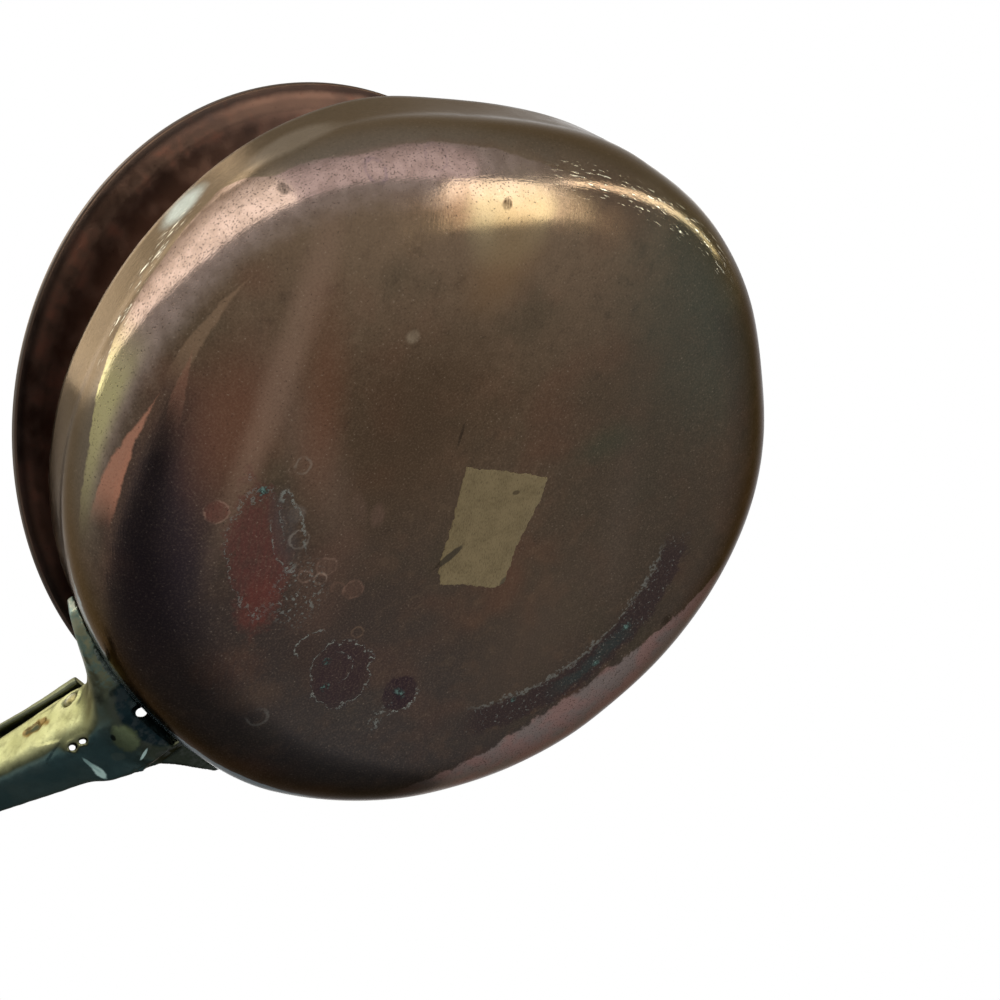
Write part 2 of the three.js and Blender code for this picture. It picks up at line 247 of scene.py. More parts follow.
def make_pan(material):
    lip = PAN_SHEET / 2.0
    lip_height = PAN_DEPTH - lip
    corner = (BASE_RADIUS, CORNER_RADIUS)
    outer = line([0.0, 0.0], [BASE_RADIUS, 0.0], 22)
    outer += arc(corner, CORNER_RADIUS, -90.0, 0.0, 30)[:-1]
    outer += line([WALL_RADIUS, CORNER_RADIUS], [RIM_RADIUS, lip_height], 8)
    inner = arc((RIM_RADIUS - lip, lip_height), lip, 0.0, 180.0, LIP_STEPS)[:-1]
    inner += line([RIM_RADIUS - PAN_SHEET, lip_height], [WALL_RADIUS - PAN_SHEET, CORNER_RADIUS], 8)
    inner += arc(corner, CORNER_RADIUS - PAN_SHEET, 0.0, -90.0, 26)[:-1]
    inner += line([BASE_RADIUS, PAN_SHEET], [0.0, PAN_SHEET], 20)
    inner.append([0.0, PAN_SHEET])
    points, faces = lathe(outer + inner, PAN_STEPS)
    inside = np.zeros(len(points))
    inside[1 + (len(outer) + LIP_STEPS // 2 - 1) * PAN_STEPS:] = 1.0
    mesh = mesh_from("pan_sheet", use_pan(points), faces)
    mark(mesh, "inside", inside)
    make_piece(mesh, material, "pan", "pan")


# Lid: a low dome with a flat flange and a rolled hem, built closed and then opened
LID_STEPS = 320
LID_RIPPLE = (0.22, 60.0, 11)
HEM_CORNER = 0.35
HEM_SEAM = 0.25


def dome_rise(radius):
    return LID_DOME * (1.0 - (radius / DOME_RADIUS) ** 2)


def opened(points):
    """Turns the lid's points from their closed place to the open one."""
    turn = Matrix.Rotation(OPEN_ANGLE, 3, "Y")
    return (np.asarray(points) - np.array(HINGE)) @ np.array(turn).T + np.array(HINGE)


def make_lid(material):
    roll = HEM_HEIGHT / 2.0
    hem = LID_RADIUS - HEM_WIDTH
    hem_top = LID_UNDERSIDE + HEM_HEIGHT
    face = LID_UNDERSIDE + LID_SHEET
    below = [[r, LID_UNDERSIDE + dome_rise(r)] for r in np.linspace(0.0, DOME_RADIUS, 40)]
    below += line([DOME_RADIUS, LID_UNDERSIDE], [LID_RADIUS - roll, LID_UNDERSIDE], 6)[1:]
    above = arc((LID_RADIUS - roll, LID_UNDERSIDE + roll), roll, -90.0, 90.0, 10)
    above += line([LID_RADIUS - roll, hem_top], [hem, hem_top], 3)[1:]
    above += arc((hem, hem_top - HEM_CORNER), HEM_CORNER, 90.0, 180.0, 4)
    above.append([hem - HEM_CORNER, face])
    above += line([hem - HEM_CORNER - HEM_SEAM, face], [DOME_RADIUS, face], 3)
    above += [[r, face + dome_rise(r)] for r in np.linspace(DOME_RADIUS, 0.0, 40)]
    points, faces = lathe(below + above, LID_STEPS)
    reach = np.hypot(points[:, 0], points[:, 1])
    inside = np.zeros(len(points))
    inside[:1 + len(below) * LID_STEPS] = 1.0
    points[:, 2] += uneven(points * [1.0, 1.0, 0.0], LID_RIPPLE)
    points[:, 0] += LID_SHIFT
    mesh = mesh_from("lid_sheet", opened(points), faces)
    mark(mesh, "reach", reach)
    mark(mesh, "inside", inside)
    make_piece(mesh, material, "lid", "lid")


# Castings: a CAD node's mesh, rounded as a casting is and made slightly uneven
CAST_OUT_AND_BACK = (0.5, -0.52)
SOFTENED = 0.6
EVENED = 0.5
# Rounds of smoothing that show a casting's edges and hollows, even them out, and even its facing out
FORM_ROUNDS, BULGE_ROUNDS, FACING_ROUNDS = 24, 8, 26
# A worn edge stands out this far from its smoothed form, and a hollow that gets painted shade lies this far in
EDGE_BULGE = 0.14
HOLLOW_DEPTH = 0.18
# Painted shade on faces that look down: none and full
UNDERSIDE_SHADE_RANGE = (-0.15, 0.9)


def read(items, name, width, kind=float):
    values = np.zeros(len(items) * width, dtype=kind)
    items.foreach_get(name, values)
    return values.reshape(-1, width)


def neighbours(mesh):
    return read(mesh.edges, "vertices", 2, np.int64)


def vertex_normals(mesh):
    return read(mesh.vertices, "normal", 3)


def vertex_points(mesh):
    return read(mesh.vertices, "co", 3) / MM


def set_points(mesh, points):
    mesh.vertices.foreach_set("co", (points * MM).ravel())
    mesh.update()


def relaxed(points, edges, rounds, *shares):
    """Smooths points along their edges by each share in turn; out and back again keeps the piece's size."""
    count = np.bincount(edges.ravel(), minlength=len(points)).astype(float)[:, None]
    count[count == 0.0] = 1.0
    for step in range(rounds):
        total = np.zeros_like(points)
        for axis in range(3):
            total[:, axis] += np.bincount(edges[:, 0], points[edges[:, 1], axis], len(points))
            total[:, axis] += np.bincount(edges[:, 1], points[edges[:, 0], axis], len(points))
        points = points + shares[step % len(shares)] * (total / count - points)
    return points


def cast_mesh(node, name, voxel, rounds, added=(), cutters=()):
    """A remeshed and rounded copy of a CAD node's mesh, with solids joined to it and cut away."""
    rough = add_object(name + "_rough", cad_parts[node].data.copy())
    for operation, tools in (("UNION", added), ("DIFFERENCE", cutters)):
        for tool in tools:
            step = rough.modifiers.new("step", "BOOLEAN")
            step.operation = operation
            step.solver = "EXACT"
            step.object = tool
    remesh = rough.modifiers.new("remesh", "REMESH")
    remesh.mode = "VOXEL"
    remesh.voxel_size = voxel * MM
    shown = rough.evaluated_get(bpy.context.evaluated_depsgraph_get())
    mesh = bpy.data.meshes.new_from_object(shown)
    mesh.name = name
    for used in (rough, *added, *cutters):
        bpy.data.objects.remove(used)
    set_points(mesh, relaxed(vertex_points(mesh), neighbours(mesh), rounds, *CAST_OUT_AND_BACK))
    return mesh


def mark_casting(mesh, underside_shade=1.0):
    """Marks a casting's worn edges, its hollows and, as far as underside_shade gives, its underside, for
    painted shade in the last two.
    """
    edges = neighbours(mesh)
    points = vertex_points(mesh)
    normals = vertex_normals(mesh)
    bulge = np.einsum("ij,ij->i", points - relaxed(points, edges, FORM_ROUNDS, SOFTENED), normals)
    bulge = relaxed(np.repeat(bulge[:, None], 3, axis=1), edges, BULGE_ROUNDS, EVENED)[:, 0]
    mark(mesh, "edge", np.clip(bulge / EDGE_BULGE, 0.0, 1.0))
    mark(mesh, "hollow", np.clip(-bulge / HOLLOW_DEPTH, 0.0, 1.0))
    facing = relaxed(normals, edges, FACING_ROUNDS, EVENED)
    mark(mesh, "under", underside_shade * smooth_step(*UNDERSIDE_SHADE_RANGE, -facing[:, 2]))


def rod(name, start, end, radii, sides=20):
    """A straight oval rod between two points, as a cutter; radii are its two half widths."""
    turn = (end - start).to_track_quat("Z", "Y").to_matrix()
    points = []
    for place in (start, end):
        for i in range(sides):
            angle = 2.0 * math.pi * i / sides
            aside = Vector((radii[0] * math.cos(angle), radii[1] * math.sin(angle), 0.0))
            points.append(list(place + turn @ aside))
    return add_object(name, mesh_from(name, points, tube_faces(2, sides)))


def block(name, outline, half_width):
    """A solid whose side outline is given as x and z."""
    points = [[x, side * half_width, z] for side in (-1.0, 1.0) for x, z in outline]
    return add_object(name, mesh_from(name, points, flipped(tube_faces(2, len(outline)))))


HANDLE_VOXEL = 0.42
HANDLE_ROUNDS = 12
# Metal that closes the fork beside the pan and below its slot: side outline as x and z, and half width
FORK_FILLS = (
    (((94.9, 19.9), (101.0, 19.7), (105.5, 21.5), (105.5, 33.0), (94.9, 33.0)), 7.6),
    (((104.5, 21.0), (114.3, 25.4), (114.3, 33.0), (104.5, 33.0)), 6.4),
)
# Three small openings let light through the casting on slanting lines: start, end and two half widths
FLAWS = (
    ((108.1, 9.0, 20.9), (119.1, -8.0, 45.9), (1.15, 0.75)),
    ((110.9, 9.0, 21.4), (122.3, -8.0, 46.5), (1.05, 0.9)),
    ((91.4, 9.6, 15.0), (102.5, -11.2, 45.0), (1.5, 1.2)),
)
FLAW_OVERRUN = 0.3
FLAW_CLEAR = (0.4, 1.6)
# The grip's section under its hinge end: bottom, top and half width at the hinge and their slopes along x
GRIP_BOTTOM = (23.3, 0.445)
GRIP_TOP = (45.5, 0.205)
GRIP_HALF_WIDTH = (8.8, -0.08)
CAST_SQUARENESS = 5.5
WORN_SQUARENESS = 3.0
# Its lower half is rounded between these places in x, and from none to full going down, out from its middle
# and toward the near side, as shares of its section
GRIP_ROUNDING_ENDS = (104.0, 111.0, 148.0, 166.0)
GRIP_ROUNDING_DOWN = (0.45, -0.1)
GRIP_ROUNDING_OUT = (0.6, 0.9)
GRIP_ROUNDING_SIDE = (-0.5, 0.3)
# The wing on the far side hangs lower: by how much, and from none to full in y and z
WING_SAG = 1.3
WING_SAG_SIDE = (-7.0, -13.0)
WING_SAG_HEIGHT = (34.0, 26.0)
# The far side of the fork is fuller below: how far out and down, where in x, and from none to full in y and z
FORK_BELLY = (1.15, 0.92)
FORK_BELLY_ENDS = (103.5, 108.0, 112.0, 119.0)
FORK_BELLY_SIDE = (-2.5, -7.5)
FORK_BELLY_HEIGHT = (33.0, 27.0)
# The fork's outer faces flow into the grip, from none to full away from the pan's axis, back along x, toward
# the near side and away from the hinge; the core stays as it is
FORK_FLOW_START = (96.5, 99.0)
FORK_FLOW_END = (123.0, 117.0)
FORK_FLOW_SIDE = (-6.0, -2.0)
FORK_FLOW_ROUNDS = 110
HINGE_REACH = (4.0, 6.5)
CORE_HALF_WIDTH = 7.6
CORE_FOOT = 29.0
# The shallow pit on the handle's cheek; its hollow and rim are shares of its half widths, along and up
PIT_CENTRE = (121.0, 7.9, 40.4)
PIT_SIZES = (4.8, 1.7)
PIT_LEAN = 0.32
PIT_DEPTH = 0.35
PIT_RIPPLE = (0.45, 2.6, 21)
PIT_HOLLOW = (1.0, 0.55)
PIT_RIM = (0.35, 0.75, 0.85, 1.25)
CHEEK = 5.0
HANDLE_RIPPLES = ((0.10, 14.0, 7), (0.05, 4.5, 8))
HANDLE_RIPPLE_REACH = (97.5, 101.0)


def hinge_distance(points):
    return np.hypot(points[:, 0] - HINGE.x, points[:, 2] - HINGE.z)


def round_grip(points):
    """Rounds the lower half of the grip's nearly square section, as handling has."""
    run = points[:, 0] - HINGE.x
    bottom, top, half_width = [at_hinge + slope * run for at_hinge, slope in
                               (GRIP_BOTTOM, GRIP_TOP, GRIP_HALF_WIDTH)]
    across = points[:, 1] / half_width
    middle = (bottom + top) / 2.0
    up = (points[:, 2] - middle) / ((top - bottom) / 2.0)
    length = np.maximum(np.hypot(across, up), 0.01)
    square, worn = [(np.abs(across / length) ** n + np.abs(up / length) ** n) ** (-1.0 / n)
                    for n in (CAST_SQUARENESS, WORN_SQUARENESS)]
    share = plateau(GRIP_ROUNDING_ENDS, points[:, 0]) * smooth_step(*GRIP_ROUNDING_DOWN, up)
    share *= smooth_step(*GRIP_ROUNDING_OUT, length) * smooth_step(*GRIP_ROUNDING_SIDE, across)
    scale = 1.0 + (worn / square - 1.0) * share
    points[:, 1] *= scale
    points[:, 2] = middle + (points[:, 2] - middle) * scale


def lower_far_side(points):
    """Hangs the far wing lower and fills out the far side of the fork."""
    sag = smooth_step(*WING_SAG_SIDE, points[:, 1]) * smooth_step(*WING_SAG_HEIGHT, points[:, 2])
    points[:, 2] -= WING_SAG * sag * (points[:, 0] < HINGE.x)
    belly = plateau(FORK_BELLY_ENDS, points[:, 0]) * smooth_step(*FORK_BELLY_SIDE, points[:, 1])
    belly *= smooth_step(*FORK_BELLY_HEIGHT, points[:, 2])
    points[:, 1] -= FORK_BELLY[0] * belly
    points[:, 2] -= FORK_BELLY[1] * belly


def flow_share(points):
    """How far each point may flow: not at the hinge, at the openings or on the core."""
    flow = smooth_step(*FORK_FLOW_START, np.hypot(points[:, 0], points[:, 1]))
    flow *= smooth_step(*FORK_FLOW_END, points[:, 0]) * smooth_step(*FORK_FLOW_SIDE, points[:, 1])
    flow *= smooth_step(*HINGE_REACH, hinge_distance(points))
    flow[(np.abs(points[:, 1]) < CORE_HALF_WIDTH) & (points[:, 2] > CORE_FOOT)] = 0.0
    for start, end, radii in FLAWS:
        axis = np.array(end) - np.array(start)
        offset = points - np.array(start)
        aside = np.linalg.norm(offset - np.outer(offset @ axis / (axis @ axis), axis), axis=1)
        flow *= smooth_step(*FLAW_CLEAR, aside - radii[0])
    return flow


def make_handle(material):
    cutters = []
    for i, (start, end, radii) in enumerate(FLAWS):
        start, end = Vector(start), Vector(end)
        along = (end - start) * FLAW_OVERRUN
        cutters.append(rod(f"flaw_{i}", start - along, end + along, radii))
    fills = [block(f"fork_fill_{i}", *fill) for i, fill in enumerate(FORK_FILLS)]
    mesh = cast_mesh("handle", "handle_casting", HANDLE_VOXEL, HANDLE_ROUNDS, fills, cutters)
    points = vertex_points(mesh)
    round_grip(points)
    lower_far_side(points)
    flowing = relaxed(points, neighbours(mesh), FORK_FLOW_ROUNDS, SOFTENED)
    points += (flowing - points) * flow_share(points)[:, None]
    set_points(mesh, points)

    x, _, z = (points - PIT_CENTRE).T
    near = np.hypot((x + PIT_LEAN * z) / PIT_SIZES[0], (z - PIT_LEAN * x) / PIT_SIZES[1])
    near += uneven(points, PIT_RIPPLE)
    on_cheek = points[:, 1] > CHEEK
    rise = uneven(points, *HANDLE_RIPPLES)
    rise *= smooth_step(*HANDLE_RIPPLE_REACH, np.hypot(points[:, 0], points[:, 1]))
    rise -= PIT_DEPTH * smooth_step(*PIT_HOLLOW, near) * on_cheek
    set_points(mesh, points + vertex_normals(mesh) * rise[:, None])
    mark(mesh, "pit", plateau(PIT_RIM, near) * on_cheek)
    mark_casting(mesh)
    make_piece(mesh, material, "pan", "handle")


# Lid lever: less painted underside shade than the handle, and even where it turns about the pin
LEVER_VOXEL = 0.32
LEVER_ROUNDS = 8
LEVER_UNDERSIDE_SHADE = 0.25
LEVER_RIPPLES = ((0.05, 9.0, 31), (0.03, 3.5, 32))
LEVER_RIPPLE_REACH = (3.0, 6.0)


def make_lever(material):
    mesh = cast_mesh("lid_lever", "lever_casting", LEVER_VOXEL, LEVER_ROUNDS)
    points = vertex_points(mesh)
    rise = uneven(points, *LEVER_RIPPLES) * smooth_step(*LEVER_RIPPLE_REACH, hinge_distance(points))
    set_points(mesh, points + vertex_normals(mesh) * rise[:, None])
    mark_casting(mesh, LEVER_UNDERSIDE_SHADE)
    make_piece(mesh, material, "lid", "lid_lever")


# Hinge pin: a rod whose two ends are peened into low domes
PIN_STEPS = 48
PIN_RADIUS = 1.6
PIN_HEAD = 2.05
PIN_REACH = 8.75
PIN_DOME = 0.75
# Up from the dome's edge: radius and height above the pin's end
PIN_SHANK = [[PIN_HEAD, 0.85], [PIN_RADIUS, 1.1], [PIN_RADIUS, 4.75], [PIN_RADIUS, 8.65]]
PIN_RIPPLE = (0.06, 2.0, 41)
PEENED = (7.5, 8.7)


def make_pin(material):
    dome = [[PIN_HEAD * math.sin(a), PIN_DOME * (1.0 - math.cos(a))] for a in np.linspace(0.2, 1.57, 9)]
    half = [[r, height - PIN_REACH] for r, height in [[0.0, 0.0]] + dome + PIN_SHANK]
    points, faces = lathe(half + [[r, -height] for r, height in reversed(half)], PIN_STEPS)
    rise = uneven(points, PIN_RIPPLE) * smooth_step(*PEENED, np.abs(points[:, 2]))
    points += (rise / np.maximum(np.linalg.norm(points, axis=1), 0.1))[:, None] * points
    placed = np.stack([points[:, 0], -points[:, 2], points[:, 1]], axis=1) + np.array(HINGE)
    mesh = mesh_from("hinge_pin_peened", placed, faces)
    make_piece(mesh, material, "pan", "hinge_pin")


# Rivets: a domed head over the strap and a flat tail under the lid
FOOT_THICKNESS = 1.9
FIT_GAP = 0.35
RIVET_STEPS = 40
RIVET_SHANK = 1.4
RIVET_HEAD = 2.7
RIVET_EDGE = 0.12
RIVET_DOME = 1.4
# Radius and height, from the lid's underside and then from the strap's top
RIVET_TAIL = ((0, -0.85), (1.6, -0.82), (2.3, -0.62), (RIVET_HEAD, -0.15), (2.5, 0), (RIVET_SHANK, 0.05))
RIVET_NECK = ((RIVET_SHANK, -0.05), (RIVET_HEAD - 0.1, 0.0))
RIVET_RIPPLE = (0.05, 3.0)
RIVET_SEED = 50


def make_rivet(index, x, material):
    low = -LID_SHEET - FIT_GAP
    high = 2.0 * FIT_GAP + FOOT_THICKNESS
    edge = high + RIVET_EDGE
    profile = [[r, low + height] for r, height in RIVET_TAIL]
    profile += [[r, high + height] for r, height in RIVET_NECK]
    profile += [[RIVET_HEAD * math.cos(a), edge + RIVET_DOME * math.sin(a)] for a in np.linspace(0.0, 1.5, 9)]
    points, faces = lathe(profile + [[0.0, edge + RIVET_DOME]], RIVET_STEPS)
    points += uneven(points, (*RIVET_RIPPLE, RIVET_SEED + index))[:, None] * [0.4, 0.4, 1.0]
    slope = math.atan(2.0 * LID_DOME * (x - LID_SHIFT) / DOME_RADIUS ** 2)
    turn = np.array(Matrix.Rotation(slope, 3, "Y"))
    base = np.array([x, 0.0, LID_UNDERSIDE + LID_SHEET + dome_rise(x - LID_SHIFT)])
    node = f"lid_rivet_{index}"
    mesh = mesh_from(f"{node}_domed", opened(points @ turn.T + base), faces)
    make_piece(mesh, material, "lid", node)


# Braze beads: uneven filler in the corner between each wing and the pan, tapering to both ends
BEAD_STEPS, BEAD_SIDES = 60, 14
BEAD_DEGREES = (8.6, 15.9)
BEAD_HEIGHT = 23.9
BEAD_STAND_OFF = 0.7
PAN_AT_BEAD = BASE_RADIUS + math.sqrt(CORNER_RADIUS ** 2 - (CORNER_RADIUS - BEAD_HEIGHT) ** 2)
BEAD_RADIUS = PAN_AT_BEAD + BEAD_STAND_OFF
BEAD_HALF_WIDTHS = (0.8, 1.0)
BEAD_FULLNESS = (0.75, 0.02)
BEAD_RIPPLES = ((0.32, 3.0, 60), (0.2, 1.4, 61))


def make_bead(name, side, material):
    points = []
    for share in np.linspace(0.0, 1.0, BEAD_STEPS):
        angle = math.radians(BEAD_DEGREES[0] + (BEAD_DEGREES[1] - BEAD_DEGREES[0]) * share)
        out = np.array([math.cos(angle), side * math.sin(angle), 0.0])
        taper = math.sqrt(max(0.0, 1.0 - (2.0 * share - 1.0) ** 6)) * BEAD_FULLNESS[0] + BEAD_FULLNESS[1]
        for around in np.arange(BEAD_SIDES) * 2.0 * math.pi / BEAD_SIDES:
            across = math.cos(around) * taper * BEAD_HALF_WIDTHS[0]
            up = math.sin(around) * taper * BEAD_HALF_WIDTHS[1]
            points.append(out * (BEAD_RADIUS + across) + [0.0, 0.0, BEAD_HEIGHT + up])
    points = np.array(points)
    middle = points.reshape(BEAD_STEPS, BEAD_SIDES, 3).mean(axis=1).repeat(BEAD_SIDES, axis=0)
    points = middle + (points - middle) * (1.0 + uneven(points, *BEAD_RIPPLES))[:, None]
    faces = tube_faces(BEAD_STEPS, BEAD_SIDES)
    mesh = mesh_from(name + "_fillet", points, faces if side > 0 else flipped(faces))
    make_piece(mesh, material, "pan", name)


# A scrap of old adhesive on the pan's base: its outline, as seen from below
LABEL_OUTLINE = ((-3.6, 20.5), (-11.5, 12.4), (-18.6, 4.1), (-14.2, 0.2), (-4.0, -6.4), (4.6, -14.4),
                 (7.6, -13.0), (11.0, -8.4), (17.2, -2.1), (14.4, 2.8), (9.5, 7.4), (3.0, 13.8))
LABEL_STEPS = 24
# Rings from its lower face round to its upper one: share of the outline, and height
LABEL_RINGS = ((0.25, -0.12), (0.5, -0.12), (0.75, -0.12), (0.97, -0.12), (1.0, -0.012), (1.0, 0.1))
LABEL_RIPPLES = ((0.35, 2.6, 71), (0.22, 1.1, 72))


def make_label(material):
    """A ragged film that follows the pan's base just below it."""
    corners = np.array(LABEL_OUTLINE)
    shares = np.arange(LABEL_STEPS)[:, None] / LABEL_STEPS
    sides = zip(corners, np.roll(corners, -1, axis=0))
    outline = np.concatenate([start + (end - start) * shares for start, end in sides])
    centre = outline.mean(axis=0)
    out = outline - centre
    out /= np.linalg.norm(out, axis=1)[:, None]
    flat = np.column_stack([outline, np.zeros(len(outline))])
    outline = outline + out * uneven(flat, *LABEL_RIPPLES)[:, None]
    points = [[*centre, LABEL_RINGS[0][1]]]
    for share, height in LABEL_RINGS:
        points += [[*place, height] for place in centre + (outline - centre) * share]
    points.append([*centre, LABEL_RINGS[-1][1]])
    points = np.array(points)
    points[:, 2] += base_rise(points)
    mesh = mesh_from("label_residue", points, flipped(ring_faces(len(LABEL_RINGS), len(outline))))
    make_piece(mesh, material, "pan")


# Materials: a small writer for node trees
class Value:
    """An output in a node tree; arithmetic on it adds the nodes that work it out."""

    def __init__(self, writer, socket):
        self.writer = writer
        self.socket = socket

    def key(self):
        return self.socket.node.name, self.socket.identifier

    def __add__(self, other):
        return self.writer.math("ADD", self, other)

    def __sub__(self, other):
        return self.writer.math("SUBTRACT", self, other)

    def __rsub__(self, other):
        return self.writer.math("SUBTRACT", other, self)

    def __mul__(self, other):
        return self.writer.math("MULTIPLY", self, other)

    def __abs__(self):
        return self.writer.math("ABSOLUTE", self)

    def larger(self, other):
        return self.writer.math("MAXIMUM", self, other)

    def step(self, low, high):
        """0 below low and 1 above high, with a smooth change between; low may be above high."""
        inputs = {0: self, 1: low, 2: high}
        return self.writer.add("ShaderNodeMapRange", inputs, interpolation_type="SMOOTHSTEP", clamp=False)

    def mixed(self, share, tint):
        """This colour, with a share of another one laid over it."""
        return self.writer.blend(share, self, tint)

    def mottled(self, *mottles):
        """This colour under others, each given as noise, its values for none and full, strength and colour."""
        tone = self
        for noise, none, full, strength, tint in mottles:
            tone = tone.mixed(noise.step(none, full) * strength, tint)
        return tone


class Tree:
    """The nodes of a material or a world, which starts with just its output."""

    def __init__(self, owner, output_kind):
        owner.use_nodes = True
        self.tree = owner.node_tree
        self.tree.nodes.clear()
        self.output = self.tree.nodes.new(output_kind)
        self.made = {}

    def show(self, shader):
        self.put(self.output.inputs["Surface"], shader)

    def make(self, kind, inputs=None, **settings):
        node = self.tree.nodes.new(kind)
        for key, value in settings.items():
            setattr(node, key, value)
        for key, value in (inputs or {}).items():
            self.put(node.inputs[key], value)
        return node

    def add(self, kind, inputs=None, output=0, **settings):
        """An output of a node, or of the one made before where just the same is asked for again."""
        parts = tuple((key, value.key() if isinstance(value, Value) else value)
                      for key, value in (inputs or {}).items())
        wanted = (kind, parts, tuple(sorted(settings.items())))
        if wanted not in self.made:
            self.made[wanted] = self.make(kind, inputs, **settings)
        return Value(self, self.made[wanted].outputs[output])

    def put(self, socket, value):
        """Links a socket to a value, or sets its constant; a colour is 0 to 255, or linear with its alpha."""
        if isinstance(value, Value):
            self.tree.links.new(value.socket, socket)
        elif socket.type == "RGBA" and len(value) == 3:
            socket.default_value = colour(value)
        else:
            socket.default_value = value

    def math(self, operation, a, b=0.0, **settings):
        return self.add("ShaderNodeMath", {0: a, 1: b}, operation=operation, **settings)


class Finish(Tree):
    """A principled material, whose places are object coordinates in millimetres."""

    def __init__(self, name):
        self.material = bpy.data.materials.new(name)
        super().__init__(self.material, "ShaderNodeOutputMaterial")
        self.shader = self.make("ShaderNodeBsdfPrincipled")
        self.show(Value(self, self.shader.outputs[0]))
        coordinates = self.add("ShaderNodeTexCoord", output="Object")
        self.place = self.add("ShaderNodeVectorMath", {0: coordinates, 3: 1.0 / MM}, operation="SCALE")

    def done(self, **values):
        """Sets the shader's sockets and gives the material."""
        for name, value in values.items():
            self.put(self.shader.inputs[name.replace("_", " ")], value)
        return self.material

    def vector(self, operation, *inputs):
        """Vector arithmetic, whose result is a number for a length or a dot product."""
        output = "Value" if operation in ("LENGTH", "DOT_PRODUCT") else "Vector"
        return self.add("ShaderNodeVectorMath", dict(enumerate(inputs)), output, operation=operation)

    def axes(self):
        """The place's x, y and z."""
        return [self.add("ShaderNodeSeparateXYZ", {0: self.place}, i) for i in range(3)]

    def reach(self):
        """The place's distance from the pan's axis."""
        return self.vector("LENGTH", self.vector("MULTIPLY", self.place, (1.0, 1.0, 0.0)))

    def blend(self, share, below, above):
        return self.add("ShaderNodeMix", {"Factor": share, 6: below, 7: above}, 2, data_type="RGBA")

    def blend_value(self, share, below, above):
        return self.add("ShaderNodeMix", {"Factor": share, 2: below, 3: above}, data_type="FLOAT")

    def noise(self, size, detail=4.0, roughness=0.55, where=None, shift=0.0):
        """Uneven values about 0.5, whose lumps are about size millimetres across."""
        source = where or self.place
        if shift:
            source = self.vector("ADD", source, (shift, shift, shift))
        inputs = {"Vector": source, "Scale": 1.0 / size, "Detail": detail, "Roughness": roughness}
        return self.add("ShaderNodeTexNoise", inputs)

    def measured(self, centre, sizes, degrees):
        """The place from a centre, in units of sizes along axes turned about Z."""
        offset = self.vector("SUBTRACT", self.place, tuple(centre)) if any(centre) else self.place
        a = math.radians(degrees)
        axes = ((math.cos(a), math.sin(a), 0.0), (-math.sin(a), math.cos(a), 0.0), (0.0, 0.0, 1.0))
        shares = {}
        for i, (axis, size) in enumerate(zip(axes, sizes)):
            shares[i] = self.vector("DOT_PRODUCT", offset, tuple(part / size for part in axis))
        return self.add("ShaderNodeCombineXYZ", shares)

    def stretched(self, sizes, degrees):
        """Noise on this makes streaks."""
        return self.measured((0.0, 0.0, 0.0), sizes, degrees)

    def within(self, centre, sizes, degrees=0.0):
        """Distance from a centre as a share of an ellipsoid's size: 1 on its surface."""
        return self.vector("LENGTH", self.measured(centre, sizes, degrees))

    def on_base(self, centre, sizes, degrees=0.0):
        """The same for an ellipse on the pan's base, whatever the height."""
        return self.within((*centre, 0.0), (*sizes, BASE_DEPTH), degrees)

    def share_of(self, value, span):
        """How far along a span a value is, from 0 to 1."""
        return self.add("ShaderNodeMapRange", {0: value, 1: span[0], 2: span[1]}, clamp=False)

    def ramp(self, value, span, stops):
        """Colours along a value: each stop is its place within the span, and its colour."""
        node = self.make("ShaderNodeValToRGB", {0: self.share_of(value, span)})
        elements = node.color_ramp.elements
        while len(elements) < len(stops):
            elements.new(0.5)
        for element, (place, tint) in zip(elements, stops):
            element.position = (place - span[0]) / (span[1] - span[0])
            element.color = colour(tint)
        return Value(self, node.outputs[0])

    def curve(self, value, span, points, top):
        """A number that follows straight lines between points along a value, up to a top."""
        node = self.make("ShaderNodeFloatCurve", {"Value": self.share_of(value, span)})
        line_points = node.mapping.curves[0].points
        ends = [(span[0], points[0][1])] + list(points) + [(span[1], points[-1][1])]
        places = [((place - span[0]) / (span[1] - span[0]), height / top) for place, height in ends]
        line_points[0].location = places[0]
        line_points[1].location = places[-1]
        for place in places[1:-1]:
            line_points.new(*place)
        for point in line_points:
            point.handle_type = "VECTOR"
        node.mapping.update()
        return Value(self, node.outputs[0]) * top

    def attribute(self, name):
        return self.add("ShaderNodeAttribute", output="Fac", attribute_name=name)

    def bump(self, height, distance):
        return self.add("ShaderNodeBump", {"Height": height, "Distance": distance * MM, "Strength": 1.0})


def colour(rgb):
    """A 0 to 255 display colour as Blender's linear colour."""
    linear = [(c / 255.0) / 12.92 if c <= 10 else ((c / 255.0 + 0.055) / 1.055) ** 2.4 for c in rgb[:3]]
    return (*linear, 1.0)


# Patina keeps metal from turning mirror-bright at a glancing view
PATINA_EDGE = (188, 180, 172)

# Marks on the base are ellipsoids of this half height in millimetres, so that height hardly counts for them
BASE_DEPTH = 40.0

# Wiping has left fine marks across the base along this bearing
WIPE_DEGREES = -47.0

# Colour of the pan's base from its handle side to its far side, darker towards the handle as a painted
# reflection: place along that line in mm, and colour
BASE_LINE = (-0.68, 0.73, 0.0)
BASE_SPAN = (-70.0, 90.0)
BASE_TONES_WITH_REFLECTION = ((-60.0, (52, 47, 44)), (-10.0, (67, 56, 46)), (35.0, (76, 61, 47)), (80.0, (110, 92, 74)))
